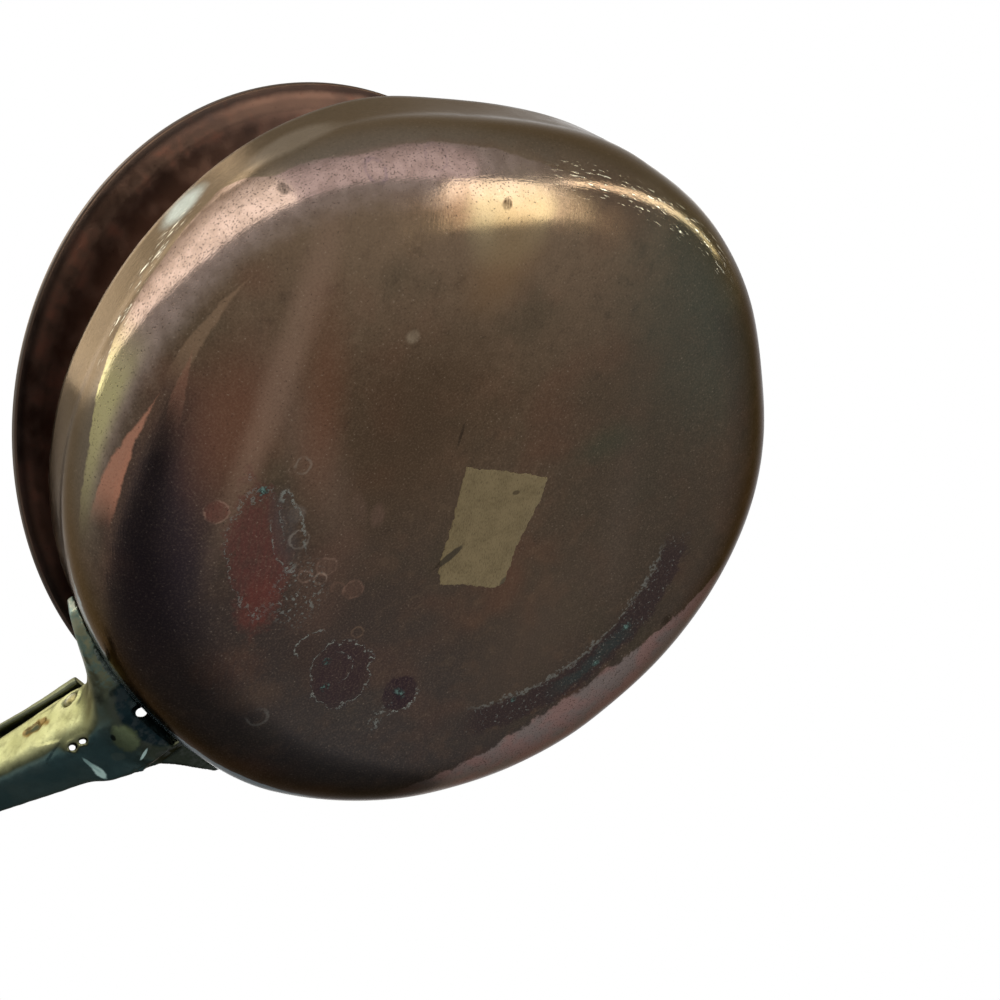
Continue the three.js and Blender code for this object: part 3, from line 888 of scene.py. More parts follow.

# Broad tones over it, some of them painted reflections as marked: centre, ellipsoid sizes, turn in degrees,
# softness, colour and strength
PAN_TONES = (
    # These two rows are dark painted reflections on the handle side of the base
    ((62, 22, 0), (44, 26, 14), 40, 0.9, (50, 42, 40), 0.8),
    ((57, 50, 2), (30, 9, 10), -48, 0.6, (46, 38, 41), 0.85),
    # A painted glint, pale and cool, high on the wall
    ((12.5, 93, 35), (5.5, 4, 3.6), 0, 0.5, (188, 202, 196), 0.6),
    ((-66, 62, 18), (32, 24, 14), -42, 0.8, (74, 65, 54), 0.7),
    ((66, -34, 0), (34, 30, 14), -48, 0.9, (58, 54, 52), 0.6),
    ((-44, -14, 0), (26, 48, 16), 20, 0.9, (58, 53, 46), 0.6),
    ((4, 38, 0), (22, 15, 12), -20, 0.9, (60, 46, 34), 0.6),
    ((6, -38, 0), (26, 12, 9), -20, 0.9, (76, 64, 54), 0.5),
    ((31, 62, 0), (15, 8, 9), -38, 0.8, (96, 62, 48), 0.6),
    ((14, 67, 0), (36, 3, 9), -35, 0.7, (122, 98, 82), 0.5),
    ((22, 47, 0), (5, 21, 9), 14, 0.9, (100, 80, 68), 0.45),
    ((13, 56, 0), (4, 17, 9), 38, 0.9, (96, 62, 46), 0.5),
    ((-74, 14, 6), (18, 30, 20), 6, 0.9, (57, 62, 54), 0.8),
    ((-36, 2, 0), (7, 4, 9), 20, 0.9, (52, 60, 48), 0.45),
    ((-40, 63.5, 3), (12, 9, 6), -28, 0.3, (124, 112, 88), 0.8),
    ((-35, 57, 3), (11, 6, 7), -28, 0.7, (108, 82, 56), 0.5),
    ((-30, -20, 0), (24, 4, 9), -58, 0.9, (78, 67, 58), 0.3),
    # A pale painted reflection high on the far wall
    ((-13, 91.5, 28), (10, 7, 5), 12, 0.3, (132, 122, 108), 0.75),
    ((80, 44, 30), (16, 22, 12), 30, 0.9, (92, 78, 62), 0.7),
)

# Stains on the base: centre, half widths, turn, softness, raggedness, colour and strength
PAN_STAINS = (
    ((44.5, 34.6), (15.2, 6.6), -57, 0.22, 1.2, (82, 48, 44), 0.8),
    ((51.5, 24.5), (6.5, 4.4), -40, 0.4, 1.3, (86, 48, 42), 0.75),
    ((44.6, 49), (2.6, 2.4), 0, 0.15, 0.3, (92, 58, 50), 0.7),
    ((32.4, 37.3), (2.2, 2), 0, 0.25, 0.5, (96, 88, 82), 0.45),
    ((34.7, 21.7), (2.3, 2.2), 0, 0.3, 0.6, (88, 70, 60), 0.5),
    ((33.6, 12.2), (2.4, 2.3), 0, 0.3, 0.6, (86, 64, 54), 0.5),
    ((36.5, 36), (8.6, 3), -62, 0.4, 1, (64, 58, 56), 0.7),
    ((38.5, 18.5), (11.5, 7), -40, 0.5, 1.4, (84, 64, 54), 0.45),
    ((48.9, -6), (9, 7.8), -55, 0.18, 0.9, (48, 37, 39), 0.9),
    ((52, 5), (4.6, 4), -30, 0.35, 1.2, (54, 44, 40), 0.6),
    ((41.3, -21.8), (5, 4.6), -40, 0.15, 0.7, (40, 30, 36), 0.95),
    ((66, 15.5), (5.5, 7.5), -40, 0.5, 1.6, (80, 56, 44), 0.4),
    ((67.5, 5.5), (4.2, 7), -50, 0.5, 1.2, (82, 64, 52), 0.45),
    ((-9.1, 55), (1.5, 1.3), 0, 0.4, 0.5, (124, 110, 92), 0.7),
    ((19, 24.5), (2.6, 1.5), -50, 0.5, 1, (98, 76, 66), 0.45),
    ((21, 29), (1.4, 3.6), 20, 0.6, 1, (92, 72, 62), 0.35),
    ((-40.8, 65.7), (1.2, 1), 0, 0.3, 0.9, (38, 28, 18), 0.95),
    ((-5, 90.4), (1.1, 0.9), 0, 0.3, 0.8, (44, 38, 34), 0.9),
    ((-27.3, -61.4), (1.9, 1.4), 0, 0.3, 0.5, (44, 37, 30), 0.85),
    ((-10.6, 6.2), (0.8, 0.6), 20, 0.4, 0.6, (50, 38, 24), 0.7),
    ((-6.5, 28.4), (3, 0.35), -42, 0.5, 0.6, (38, 31, 25), 0.8),
    ((11.8, 3), (4.4, 0.7), -4, 0.4, 0.6, (40, 33, 26), 0.9),
)

# Rings left by drops: centre, radius, width, colour and strength
PAN_RINGS = (
    ((-21.8, 84.3), 2.1, 0.5, (86, 74, 80), 0.42),
    ((-33.8, 79.8), 2.2, 0.4, (92, 80, 80), 0.32),
    ((24.3, -2), 1.8, 0.5, (92, 76, 62), 0.24),
    ((25.1, 45.8), 1.9, 0.45, (124, 114, 102), 0.35),
    ((35.5, 31.9), 2.3, 0.4, (118, 112, 104), 0.45),
    ((44.6, 49), 2.6, 0.35, (130, 104, 90), 0.5),
    ((69.6, -1.1), 2.5, 0.5, (104, 100, 92), 0.45),
    ((34.7, 21.7), 2.2, 0.4, (110, 88, 76), 0.45),
    ((37.6, 20), 1.3, 0.4, (136, 118, 104), 0.55),
    ((33.6, 12.2), 2.4, 0.4, (106, 82, 70), 0.45),
    ((39.9, 23), 1.5, 0.4, (116, 94, 82), 0.45),
    ((39.2, 1.4), 1.5, 0.35, (104, 84, 68), 0.45),
    ((36, 15), 1.8, 0.5, (104, 80, 68), 0.3),
)

# Pale crusts at stains' edges: centre, half widths, turn, line width, crusted side in degrees, strength
CRUSTS = (
    ((48.9, -6), (9.2, 8), -55, 0.26, 172, 1),
    ((48.9, -6), (9.2, 8), -55, 0.2, 36, 0.7),
    ((48.9, -6), (9.2, 8), -55, 0.24, -70, 0.6),
    ((49.6, 5.6), (4.6, 3.8), -30, 0.22, 80, 0.8),
    ((41.3, -21.8), (5.4, 5), -40, 0.34, -80, 1),
    ((36, 34.4), (9, 3.2), -62, 0.3, 190, 0.6),
    ((37.6, 34.4), (8, 3), -62, 0.2, 10, 0.5),
    ((44.5, 34.6), (15.4, 6.8), -57, 0.2, 20, 0.4),
    ((44.5, 34.6), (15.4, 6.8), -57, 0.2, 120, 0.3),
    ((48.8, -3), (4.2, 4.4), -30, 0.2, -150, 0.6),
)
# Patches sown with crust specks: centre, half widths and turn
SPECKLED_PATCHES = (((43.5, 20.5), (8.5, 6), -45), ((48.6, -24), (5, 2.4), -20))
# Dots of verdigris: centre and half widths
TEAL_DOTS = (
    ((49.1, 0), (1.2, 1)),
    ((53.6, -5.9), (1.4, 1.1)),
    ((41.4, -21.9), (1.4, 2.2)),
    ((34.8, 46.6), (1.3, 1.1)),
    ((20, -49), (1, 0.8)),
    ((-4, -57.5), (1.6, 1.2)),
    ((-16.5, -53.5), (1.4, 1.4)),
)

# The dark tide mark along one side of the base: radius, half width, first and last bearing in degrees
TIDE_MARK = (56.2, 4.2, -136, -54)
TIDE_CORE = (56.4, 2.2, -107, -80)
TIDE_EDGE = (51.8, 0.5, -132, -56)

# Paler metal beyond it: lowest radius, how fast its edge rises, middle bearing and half spread
PALER_METAL_ENDS = (-128.0, -46.0)
PALER_METAL_EDGE = (62, 14, -85, 41)

# Bare copper where the rounding is rubbed: the height that it reaches at each bearing in degrees
BARE_TOP = ((50, 15), (64, 21.4), (76, 24), (83, 26.5), (87.5, 28), (90, 24.5), (93, 18.7),
            (98, 17), (103, 13.5), (113, 12.8), (126, 9), (140, 6))
# The band's foot: the height where it starts at each bearing, drawn along a reflection's edge, so that edge is
# partly painted reflection
BARE_FOOT = ((50, 11), (64, 10.5), (78, 9.5), (88, 8.5), (98, 6.5), (110, 4), (126, 3))
BARE_SPAN = (40, 150)
BARE_ENDS = (46.0, 128.0)
# It carries a painted yellow highlight at these bearings and heights, none to full, and the far wall above it
# is olive at these
YELLOW_HIGHLIGHT = ((70.0, 58.0), (10.0, 14.0))
OLIVE = ((18.0, 50.0), (7.0, 15.0))
# The rim's worn lip by height, and the bearings between which it also carries a cool pale painted reflection
LIP_HEIGHTS = (38.9, 39.6)
LIP_REFLECTION_ENDS = (-60.0, 42.0)
# Crusts and then stains end at these heights on the rounding, and soot inside at these
CRUST_TOP = (14.0, 5.0)
STAIN_TOP = (22.0, 16.0)
SOOT_TOP = (24.0, 4.0)
# Painted glints, as bright scratch flecks, low on the rounding: bearings, and heights where they come in and
# go out
LOW_GLINTS = ((133.0, 168.0), (3.5, 5.0), (11.0, 8.5))
# Others that climb the wall: bearings, one bearing with the height there, climb for each degree, and fading
HIGH_GLINTS = ((63.0, 84.0), 76.0, 28.5, 0.5, (4.0, 1.5))

# Painted reflections as lines round the pan, three orange-brown streaks and a pale line on the wall by the
# handle: first and last bearing, a bearing with the line's radius there and its slope, half width, colour and
# strength
REFLECTION_LINES = (
    ((44, 66), (53, 85, -0.17), 0.8, (150, 106, 86), 0.8),
    ((67, 87), (75, 82.9, 0.03), 0.6, (128, 104, 82), 0.45),
    ((61, 73), (66, 81.2, 0.28), 0.6, (120, 84, 68), 0.45),
    ((-28, 40), (-8, 91.6, 0.03), 1.8, (176, 196, 202), 0.85),
)


def toward(azimuth, elevation):
    """A direction from the object, in degrees round Z from +X and above the horizon."""
    a, e = math.radians(azimuth), math.radians(elevation)
    return Vector((math.cos(a) * math.cos(e), math.sin(a) * math.cos(e), math.sin(e)))


def sector(bearing, first, last, soft=5.0):
    """1 between two bearings, fading out over a few degrees at either end."""
    return bearing.step(first - soft, first + soft) * bearing.step(last + soft, last - soft)


def arc_band(reach, bearing, band, soft, raggedness):
    """1 on a ragged band round the pan's middle."""
    radius, half_width, first, last = band
    off = abs(reach + raggedness - radius)
    inside = off.step(half_width * (1.0 + soft), half_width * (1.0 - soft))
    return inside * sector(bearing, first, last)


def side_line(finish, centre, sizes, turn, width, toward_degrees, ragged):
    """1 along one side of a ragged ellipse's outline."""
    near = finish.on_base(centre, sizes, turn) + ragged * 0.9
    off = abs(near - 1.0) * min(sizes)
    share = off.step(width * 1.3, width * 0.4)
    ahead = tuple(toward(toward_degrees, 0.0))
    facing = finish.vector("DOT_PRODUCT", finish.vector("SUBTRACT", finish.place, (*centre, 0.0)), ahead)
    return share * facing.step(0.0, min(sizes) * 0.8)


def copper_pan():
    finish = Finish("pan_copper_patina")
    x, y, height = finish.axes()
    bearing = finish.math("ARCTAN2", y, x) * (180.0 / math.pi)
    reach = finish.reach()
    below = height.step(*CRUST_TOP)

    # Unevenness at four scales, and a mix of it for ragged edges
    cloud = finish.noise(30.0, 2.0)
    coarse = finish.noise(10.0, 3.0, shift=40.0)
    middling = finish.noise(3.6, 3.0, 0.6, shift=90.0)
    fine = finish.noise(0.9, 2.0, 0.6, shift=140.0)
    ragged = (coarse - 0.5) * 0.8 + (middling - 0.5) * 0.9 + (fine - 0.5) * 0.4

    # Brown metal, darker towards the handle as a painted reflection, mottled, and wiped in fine straight
    # streaks
    streaks = finish.noise(1.0, 3.0, 0.7, finish.stretched((7.0, 0.7, 4.0), WIPE_DEGREES))
    along = finish.vector("DOT_PRODUCT", finish.place, BASE_LINE) + ragged * 16.0
    tone = finish.ramp(along, BASE_SPAN, BASE_TONES_WITH_REFLECTION).mottled(
        (cloud, 0.5, 0.68, 0.5, (88, 60, 46)),
        (cloud, 0.46, 0.32, 0.5, (62, 56, 44)),
        (coarse, 0.52, 0.68, 0.3, (92, 70, 55)),
        (streaks, 0.45, 0.8, 0.14, (104, 88, 72)),
        (streaks, 0.5, 0.25, 0.16, (52, 44, 38)),
        (middling, 0.52, 0.72, 0.22, (98, 80, 64)),
        (middling, 0.44, 0.26, 0.25, (46, 38, 32)),
    )

    # Olive wall on the far side, and bare rubbed copper on the rounding below it, paler in part as a painted
    # reflection and with its foot drawn along a reflection's edge
    bearings, heights = OLIVE
    wall = (height + ragged * 6.0).step(*heights)
    tone = tone.mixed(wall * (bearing.step(*bearings) * 0.85), (94, 86, 75))
    spare = finish.curve(bearing, BARE_SPAN, BARE_TOP, PAN_DEPTH) - (height + ragged * 2.0)
    bare = spare.step(-0.35, 0.35) * sector(bearing, *BARE_ENDS, 10.0)
    above = height + ragged * 1.5 - finish.curve(bearing, BARE_SPAN, BARE_FOOT, PAN_DEPTH)
    bare = bare * above.step(-2.5, 2.5)
    bare_tone = finish.blend(middling.step(0.35, 0.65), (112, 97, 88), (126, 110, 101))
    # Painted yellow highlight on part of the bare band
    bearings, heights = YELLOW_HIGHLIGHT
    yellow_highlight = bearing.step(*bearings) * height.step(*heights)
    bare_tone = bare_tone.mixed(yellow_highlight * 0.85, (154, 147, 104))
    # Broad tones, some of them painted reflections
    for centre, sizes, turn, soft, tint, strength in PAN_TONES:
        near = finish.within(centre, sizes, turn) + ragged * 0.3
        tone = tone.mixed(near.step(1.0 + soft, 1.0 - soft) * strength, tint)
    tone = tone.mixed(bare, bare_tone)
    # Painted reflections: orange-brown streaks and a pale line by the handle
    for ends, (middle, radius, slope), half_width, tint, strength in REFLECTION_LINES:
        off = reach + ragged - ((bearing - middle) * slope + radius)
        width = bearing.step(ends[1], ends[0]) * (half_width * 2.6)
        share = (abs(off) - width).step(0.0, -0.5) * sector(bearing, *ends, 4.0)
        tone = tone.mixed(share * strength, tint)

    # Paler metal and the tide mark at its edge
    lowest, rise, middle, spread = PALER_METAL_EDGE
    aside = (bearing - middle) * (1.0 / spread)
    past = reach + ragged * 4.5 - (aside * aside * rise + lowest)
    paler_metal = past.step(-0.5, 0.7) * sector(bearing, *PALER_METAL_ENDS, 8.0)
    paler_metal_tone = finish.blend(coarse.step(0.42, 0.62), (112, 101, 96), (124, 99, 93))
    tone = tone.mixed(paler_metal * 0.9, paler_metal_tone)
    tide = arc_band(reach, bearing, TIDE_MARK, 0.3, ragged * 6.0) * below
    tone = tone.mixed(tide * 0.8, (49, 40, 41))
    core = arc_band(reach, bearing, TIDE_CORE, 0.6, ragged * 6.0) * below
    tone = tone.mixed(core * 0.5, (42, 58, 56))

    # Stains, drop rings and spots
    patchy = height.step(*STAIN_TOP) * finish.blend_value(streaks.step(0.3, 0.6), 0.6, 1.0)
    patchy = patchy * finish.blend_value(middling.step(0.32, 0.55), 0.65, 1.0)
    broken = middling.step(0.34, 0.58)
    for centre, sizes, turn, soft, rough, tint, strength in PAN_STAINS:
        near = finish.on_base(centre, sizes, turn) + ragged * rough
        tone = tone.mixed(near.step(1.0 + soft, 1.0 - soft) * strength * patchy, tint)
    for centre, radius, width, tint, strength in PAN_RINGS:
        off = abs(finish.on_base(centre, (1.0, 1.0)) + ragged * 1.8 - radius)
        tone = tone.mixed(off.step(width, width * 0.2) * strength * broken, tint)

    # Pits, more of them in the bare and paler copper, and dust
    grain = finish.noise(0.45, 1.5, 0.5, shift=200.0)
    pits = (grain - finish.blend_value(bare.larger(paler_metal), 0.70, 0.61)).step(0.0, 0.07)
    tone = tone.mixed(pits * 0.6, (50, 42, 36)).mottled(
        (grain, 0.29, 0.24, 0.25, (160, 148, 132)),
        (grain, 0.5, 0.66, 0.12, (42, 34, 28)),
        (grain, 0.5, 0.36, 0.09, (128, 108, 90)),
    )

    # Pale crusts and verdigris
    crust = arc_band(reach, bearing, TIDE_EDGE, 0.7, ragged * 6.0) * 0.35
    for centre, sizes, turn, width, toward_degrees, strength in CRUSTS:
        share = side_line(finish, centre, sizes, turn, width, toward_degrees, ragged)
        crust = crust.larger(share * strength)
    sown, clustered = [finish.on_base(*patch).step(1.3, 0.5) for patch in SPECKLED_PATCHES]
    crust = crust.larger(sown.larger(clustered) * fine.step(0.57, 0.66) * 0.5)
    crust = crust.larger(tide * fine.step(0.62, 0.7) * 0.4) * fine.step(0.42, 0.56)
    teal, *others = [(finish.on_base(*dot) + ragged * 1.4).step(1.2, 0.4) for dot in TEAL_DOTS]
    for dot in others:
        teal = teal.larger(dot)
    tone = tone.mixed(crust * below * 0.85, (144, 148, 140))
    teal_tone = finish.blend(fine.step(0.5, 0.66), (38, 62, 58), (106, 138, 130))
    teal = teal * fine.step(0.4, 0.55) * below
    tone = tone.mixed(teal * 0.9, teal_tone)
    crust = crust.larger(teal) * below

    # Painted glints: bright scratch flecks round the wall in two places
    spin = finish.add("ShaderNodeCombineXYZ", {0: bearing * 0.2, 1: reach, 2: height})
    marks = finish.noise(0.5, 2.0, 0.7, spin)
    ends, coming, going = LOW_GLINTS
    rubbed = sector(bearing, *ends) * height.step(*coming) * height.step(*going)
    ends, middle, rise, slope, fading = HIGH_GLINTS
    climb = height - rise - (bearing - middle) * slope
    glint_zone = rubbed.larger(sector(bearing, *ends) * abs(climb).step(*fading))
    glint_flecks = marks.step(0.6, 0.68) * glint_zone
    tone = tone.mixed(glint_flecks * 0.75, (232, 228, 206))

    # Inside: browner, sooty low down, and a worn lip, part of which carries a cool pale painted reflection
    inside = finish.attribute("inside")
    soot = (height + ragged * 12.0).step(*SOOT_TOP)
    inner = finish.blend(soot * 0.75, (112, 84, 66), (54, 46, 42))
    tone = tone.mixed(inside, inner.mottled((coarse, 0.45, 0.65, 0.4, (92, 64, 50))))
    lip = (height + ragged * 1.5).step(*LIP_HEIGHTS)
    tone = tone.mixed(lip * 0.6, (160, 140, 122))
    tone = tone.mixed(lip * sector(bearing, *LIP_REFLECTION_ENDS, 8.0) * 0.8, (196, 206, 208))

    # Gloss: polished on the rounding, duller on stains, and rough on crusts
    gloss = finish.blend_value(coarse.step(0.35, 0.7), 0.15, 0.24)
    for share, level in ((tide * 0.6, 0.4), (crust, 0.85), (inside, 0.38), (bare, 0.12), (rubbed, 0.1)):
        gloss = finish.blend_value(share, gloss, level)

    # Relief: fine turning marks on the rounding and wall, wiping marks on the base, pits and crusts
    marks = finish.blend_value(height.step(1.5, 5.0), streaks * 0.5, marks)
    relief = fine * 0.35 + marks * 0.7 - pits * 0.5 + crust * 2.0 + glint_flecks * 2.0
    return finish.done(Base_Color=tone, Metallic=finish.blend_value(crust, 1.0, 0.1), Roughness=gloss,
                       Normal=finish.bump(relief, 0.03), Specular_Tint=PATINA_EDGE)


# Distances from the lid's middle, none to full: paler middle, line at the flange, hem, and a painted highlight
# on its edge
LID_MIDDLE = (90.0, 82.0)
LID_LINE = ((90.6, 91.4), (94.4, 93.2))
LID_HEM = (94.6, 96.4)
LID_EDGE_HIGHLIGHT = (97.55, 97.9)


def copper_lid():
    finish = Finish("lid_copper_patina")
    coarse = finish.noise(26.0, 3.0)
    middling = finish.noise(7.0, 4.0, shift=40.0)
    fine = finish.noise(0.8, 2.0, 0.6, shift=90.0)
    inside = finish.attribute("inside")
    reach = finish.attribute("reach")
    below = finish.blend(coarse.step(0.38, 0.62), (90, 69, 60), (120, 91, 77)).mottled(
        (middling, 0.52, 0.7, 0.45, (122, 76, 62)),
        (middling, 0.42, 0.3, 0.35, (78, 66, 60)),
    )
    above = finish.blend(coarse.step(0.3, 0.7), (98, 75, 58), (122, 94, 74)).mottled(
        (middling, 0.55, 0.72, 0.3, (104, 68, 52)),
        (middling, 0.42, 0.28, 0.3, (80, 70, 56)),
    )
    tone = above.mixed(inside, below)
    ring = reach + (middling - 0.5) * 2.0
    tone = tone.mixed(ring.step(*LID_MIDDLE) * inside * 0.6, (158, 120, 100))
    coming, going = LID_LINE
    tone = tone.mixed(ring.step(*coming) * ring.step(*going) * 0.35, (70, 56, 48)).mottled(
        (ring, *LID_HEM, 0.75, (34, 31, 30)),
        # Painted highlight along the hem's edge
        (reach, *LID_EDGE_HIGHLIGHT, 0.5, (118, 112, 104)),
        (fine, 0.66, 0.74, 0.35, (34, 28, 26)),
    )
    gloss = finish.blend_value(middling.step(0.35, 0.65), 0.28, 0.4)
    relief = middling * 0.6 + fine * 0.4
    return finish.done(Base_Color=tone, Metallic=1.0, Roughness=gloss, Normal=finish.bump(relief, 0.05),
                       Specular_Tint=PATINA_EDGE)


# Brass goes grey and then green towards the pan: distances from the pan's axis, none to full
GREY_REACH = (107.0, 99.0)
GREEN_REACH = (101.0, 97.0)
# The near side is lit: its wing is painted paler grey, and it gets less painted shade: distances to that side,
# none to full
LIT_WING_SIDE = (13.0, 22.0)
LIT_SIDE_REACH = (11.0, 18.0)
# Painted shade where the fork meets the pan: its middle and half sizes
FORK_HOLLOW_SHADE = ((93.0, 3.0, 22.0), (5.5, 10.0, 13.0))
# Marks and painted light under the fork, marked row by row: place, half sizes, turn in degrees, colour,
# strength and chalkiness
FORK_MARKS_AND_LIGHT = (
    # Painted light: a lit olive patch on the web under the fork
    ((100.8, 2.6, 19), (3, 4.8, 4), 15, (84, 92, 66), 0.9, 0),
    ((102.5, 4.9, 20), (0.6, 1.1, 3), 20, (14, 18, 18), 0.9, 0),
    ((105.9, -1.4, 21.5), (1.8, 1.5, 3), 0, (76, 88, 80), 0.6, 0),
    # These two rows are painted highlights along the slot's back edge, laid on as chalky verdigris
    ((113, -3.6, 24.6), (1.1, 3, 3), 4, (176, 206, 198), 0.95, 0.9),
    ((112.9, -0.8, 24.6), (0.5, 3.4, 3), 0, (140, 172, 166), 0.8, 0.7),
    # A painted glint
    ((100.8, -4.4, 19), (2, 0.4, 3), -27, (170, 196, 190), 0.9, 0.9),
)


def cast_brass(name, light, dark, worn):
    finish = Finish(name)
    reach = finish.reach()
    coarse = finish.noise(9.0, 3.0)
    middling = finish.noise(2.6, 4.0, 0.6, shift=40.0)
    fine = finish.noise(0.6, 2.0, 0.6, shift=90.0)
    under = finish.attribute("under")
    wobble = middling - 0.5

    # Yellow-olive metal, worn bright on its edges
    tone = finish.blend(coarse.step(0.36, 0.64), dark, light)
    tone = tone.mottled((middling, 0.5, 0.72, 0.4, (98, 96, 66))).mixed(finish.attribute("edge") * 0.45, worn)

    # Greyer near the pan, with verdigris at the joint
    joint = (reach + wobble * 5.0).step(*GREY_REACH)
    across = finish.axes()[1] + wobble * 4.0
    # Painted light: the near wing is paler where it does not face down
    wing = joint * across.step(*LIT_WING_SIDE) * (1.0 - under)
    tone = tone.mixed(joint * 0.7, (106, 105, 82))
    tone = tone.mixed(wing * 0.8, (134, 139, 126))
    green = (reach + wobble * 3.0).step(*GREEN_REACH) * middling.step(0.46, 0.6)
    tone = tone.mixed(green * 0.7, (92, 124, 112))

    # Painted shade: dark teal on the underside, less of it on the lit near side, darker in the hollows, and
    # near-black in the fork's hollow
    shade = (under + wobble * 0.25).step(0.2, 0.88) * (1.0 - across.step(*LIT_SIDE_REACH) * 0.48)
    underside_shade = finish.blend(coarse.step(0.4, 0.65), (54, 76, 76), (64, 82, 80))
    underside_shade = finish.blend(under.step(0.75, 0.95), (46, 50, 38), underside_shade)
    underside_shade = underside_shade.mixed(joint, (38, 43, 36))
    tone = tone.mixed(shade * 0.97, underside_shade)
    # Painted shade in the casting's hollows
    hollow_shade = (finish.attribute("hollow") + wobble * 0.4).step(0.15, 0.6)
    tone = tone.mixed(hollow_shade * 0.75, (34, 40, 36))
    # Painted shade: near-black in the fork's hollow
    deep_shade = (finish.within(*FORK_HOLLOW_SHADE) + wobble * 0.25).step(1.15, 0.95)
    tone = tone.mixed(deep_shade * 0.93, (20, 35, 40))
    chalky = (green * 0.7).larger(wing * 0.4)
    # Marks and painted light under the fork
    for spot, sizes, turn, tint, strength, chalk in FORK_MARKS_AND_LIGHT:
        share = (finish.within(spot, sizes, turn) + wobble).step(1.2, 0.7) * strength
        tone = tone.mixed(share, tint)
        chalky = chalky.larger(share * chalk)
    tone = tone.mixed(finish.attribute("pit") * 0.85, (86, 66, 38))
    tone = tone.mottled((fine, 0.66, 0.74, 0.5, (58, 54, 38)))

    gloss = finish.blend_value(middling.step(0.35, 0.7), 0.28, 0.42)
    gloss = finish.blend_value(hollow_shade.larger(deep_shade), gloss, 0.7)
    relief = middling * 0.8 + fine * 0.35
    return finish.done(Base_Color=tone, Metallic=1.0 - chalky, Roughness=gloss,
                       Normal=finish.bump(relief, 0.08), Specular_Tint=PATINA_EDGE)


def pin_brass():
    finish = Finish("pin_brass")
    middling = finish.noise(1.2, 3.0, 0.6)
    tone = finish.blend(middling.step(0.35, 0.65), (92, 86, 54), (122, 116, 78))
    tone = tone.mottled((middling, 0.58, 0.68, 0.6, (58, 54, 36)))
    return finish.done(Base_Color=tone, Metallic=1.0, Roughness=finish.blend_value(middling, 0.2, 0.45),
                       Normal=finish.bump(middling, 0.06))


def braze_filler():
    finish = Finish("braze_filler")
    coarse = finish.noise(2.6, 4.0, 0.6)
    fine = finish.noise(0.5, 2.0, 0.6, shift=30.0)
    tone = finish.blend(coarse.step(0.38, 0.62), (40, 50, 44), (66, 74, 64))
    tone = tone.mottled((fine, 0.5, 0.66, 0.4, (112, 124, 114)), (fine, 0.42, 0.3, 0.6, (46, 52, 46)))
    relief = coarse * 0.8 + fine * 0.5
    return finish.done(Base_Color=tone, Metallic=0.25, Roughness=0.75, Normal=finish.bump(relief, 0.25))


# Dark marks on the adhesive: centre, half sizes, turn in degrees, raggedness, colour and strength
ADHESIVE_MARKS = (
    ((11.6, 2.9, 0), (4.2, 0.9, 9), -4, 1, (50, 40, 26), 0.85),
    ((3.6, -14.4, 0), (2.1, 1.9, 9), 0, 0, (62, 52, 38), 0.75),
    ((-10.2, 6.4, 0), (1, 0.6, 9), 30, 0, (62, 46, 22), 0.7),
)


def old_adhesive():
    finish = Finish("old_adhesive")
    coarse = finish.noise(5.0, 4.0, 0.6)
    fine = finish.noise(1.0, 2.0, 0.7, finish.stretched((0.8, 0.3, 0.5), WIPE_DEGREES))
    tone = finish.blend(coarse.step(0.35, 0.65), (116, 99, 66), (134, 116, 81))
    tone = tone.mottled((fine, 0.4, 0.62, 0.5, (142, 126, 90)), (fine, 0.44, 0.3, 0.6, (78, 65, 42)))
    for centre, sizes, turn, rough, tint, strength in ADHESIVE_MARKS:
        near = finish.within(centre, sizes, turn) + (coarse - 0.5) * rough
        tone = tone.mixed(near.step(1.15, 0.8) * strength, tint)
    relief = fine * 0.7 + coarse * 0.3
    return finish.done(Base_Color=tone, Metallic=0.0, Roughness=0.75, Normal=finish.bump(relief, 0.08),
                       Specular_IOR_Level=0.25)


def build_object():
    brass = cast_brass("cast_brass", (132, 133, 96), (116, 117, 82), (148, 147, 111))
    dull_brass = cast_brass("dull_brass", (84, 88, 68), (66, 70, 56), (100, 102, 82))
    braze = braze_filler()
    make_pan(copper_pan())
    make_lid(copper_lid())
    make_handle(brass)
    make_lever(dull_brass)
    make_pin(pin_brass())
    for index, x in enumerate(RIVET_PLACES, start=1):
        make_rivet(index, x, brass)
    make_bead("braze_bead_left", 1, braze)
    make_bead("braze_bead_right", -1, braze)
    make_label(old_adhesive())


def make_camera():
    data = bpy.data.cameras.new("photo_view")
    data.lens = CAMERA_LENS
    data.sensor_width = CAMERA_SENSOR
    data.clip_start = 0.01
    data.clip_end = 50.0
    camera = add_object("photo_view", data)
    right = Vector(CAMERA_RIGHT).normalized()
    back = Vector(CAMERA_BACK).normalized()
    up = back.cross(right).normalized()
    turn = Matrix((right, up, back)).transposed().to_4x4()
    camera.matrix_world = Matrix.Translation(Vector(CAMERA_PLACE) * MM) @ turn
    bpy.context.scene.camera = camera


# Stage: a pale floor that is seen only from above, white surroundings and soft lamps
FLOOR_DROP = 0.5
FLOOR_HALF = 3.0
FLOOR_COLOUR = (0.86, 0.86, 0.85, 1.0)
WHITE_STRENGTH = 1.0
FILL_STRENGTH = 0.55


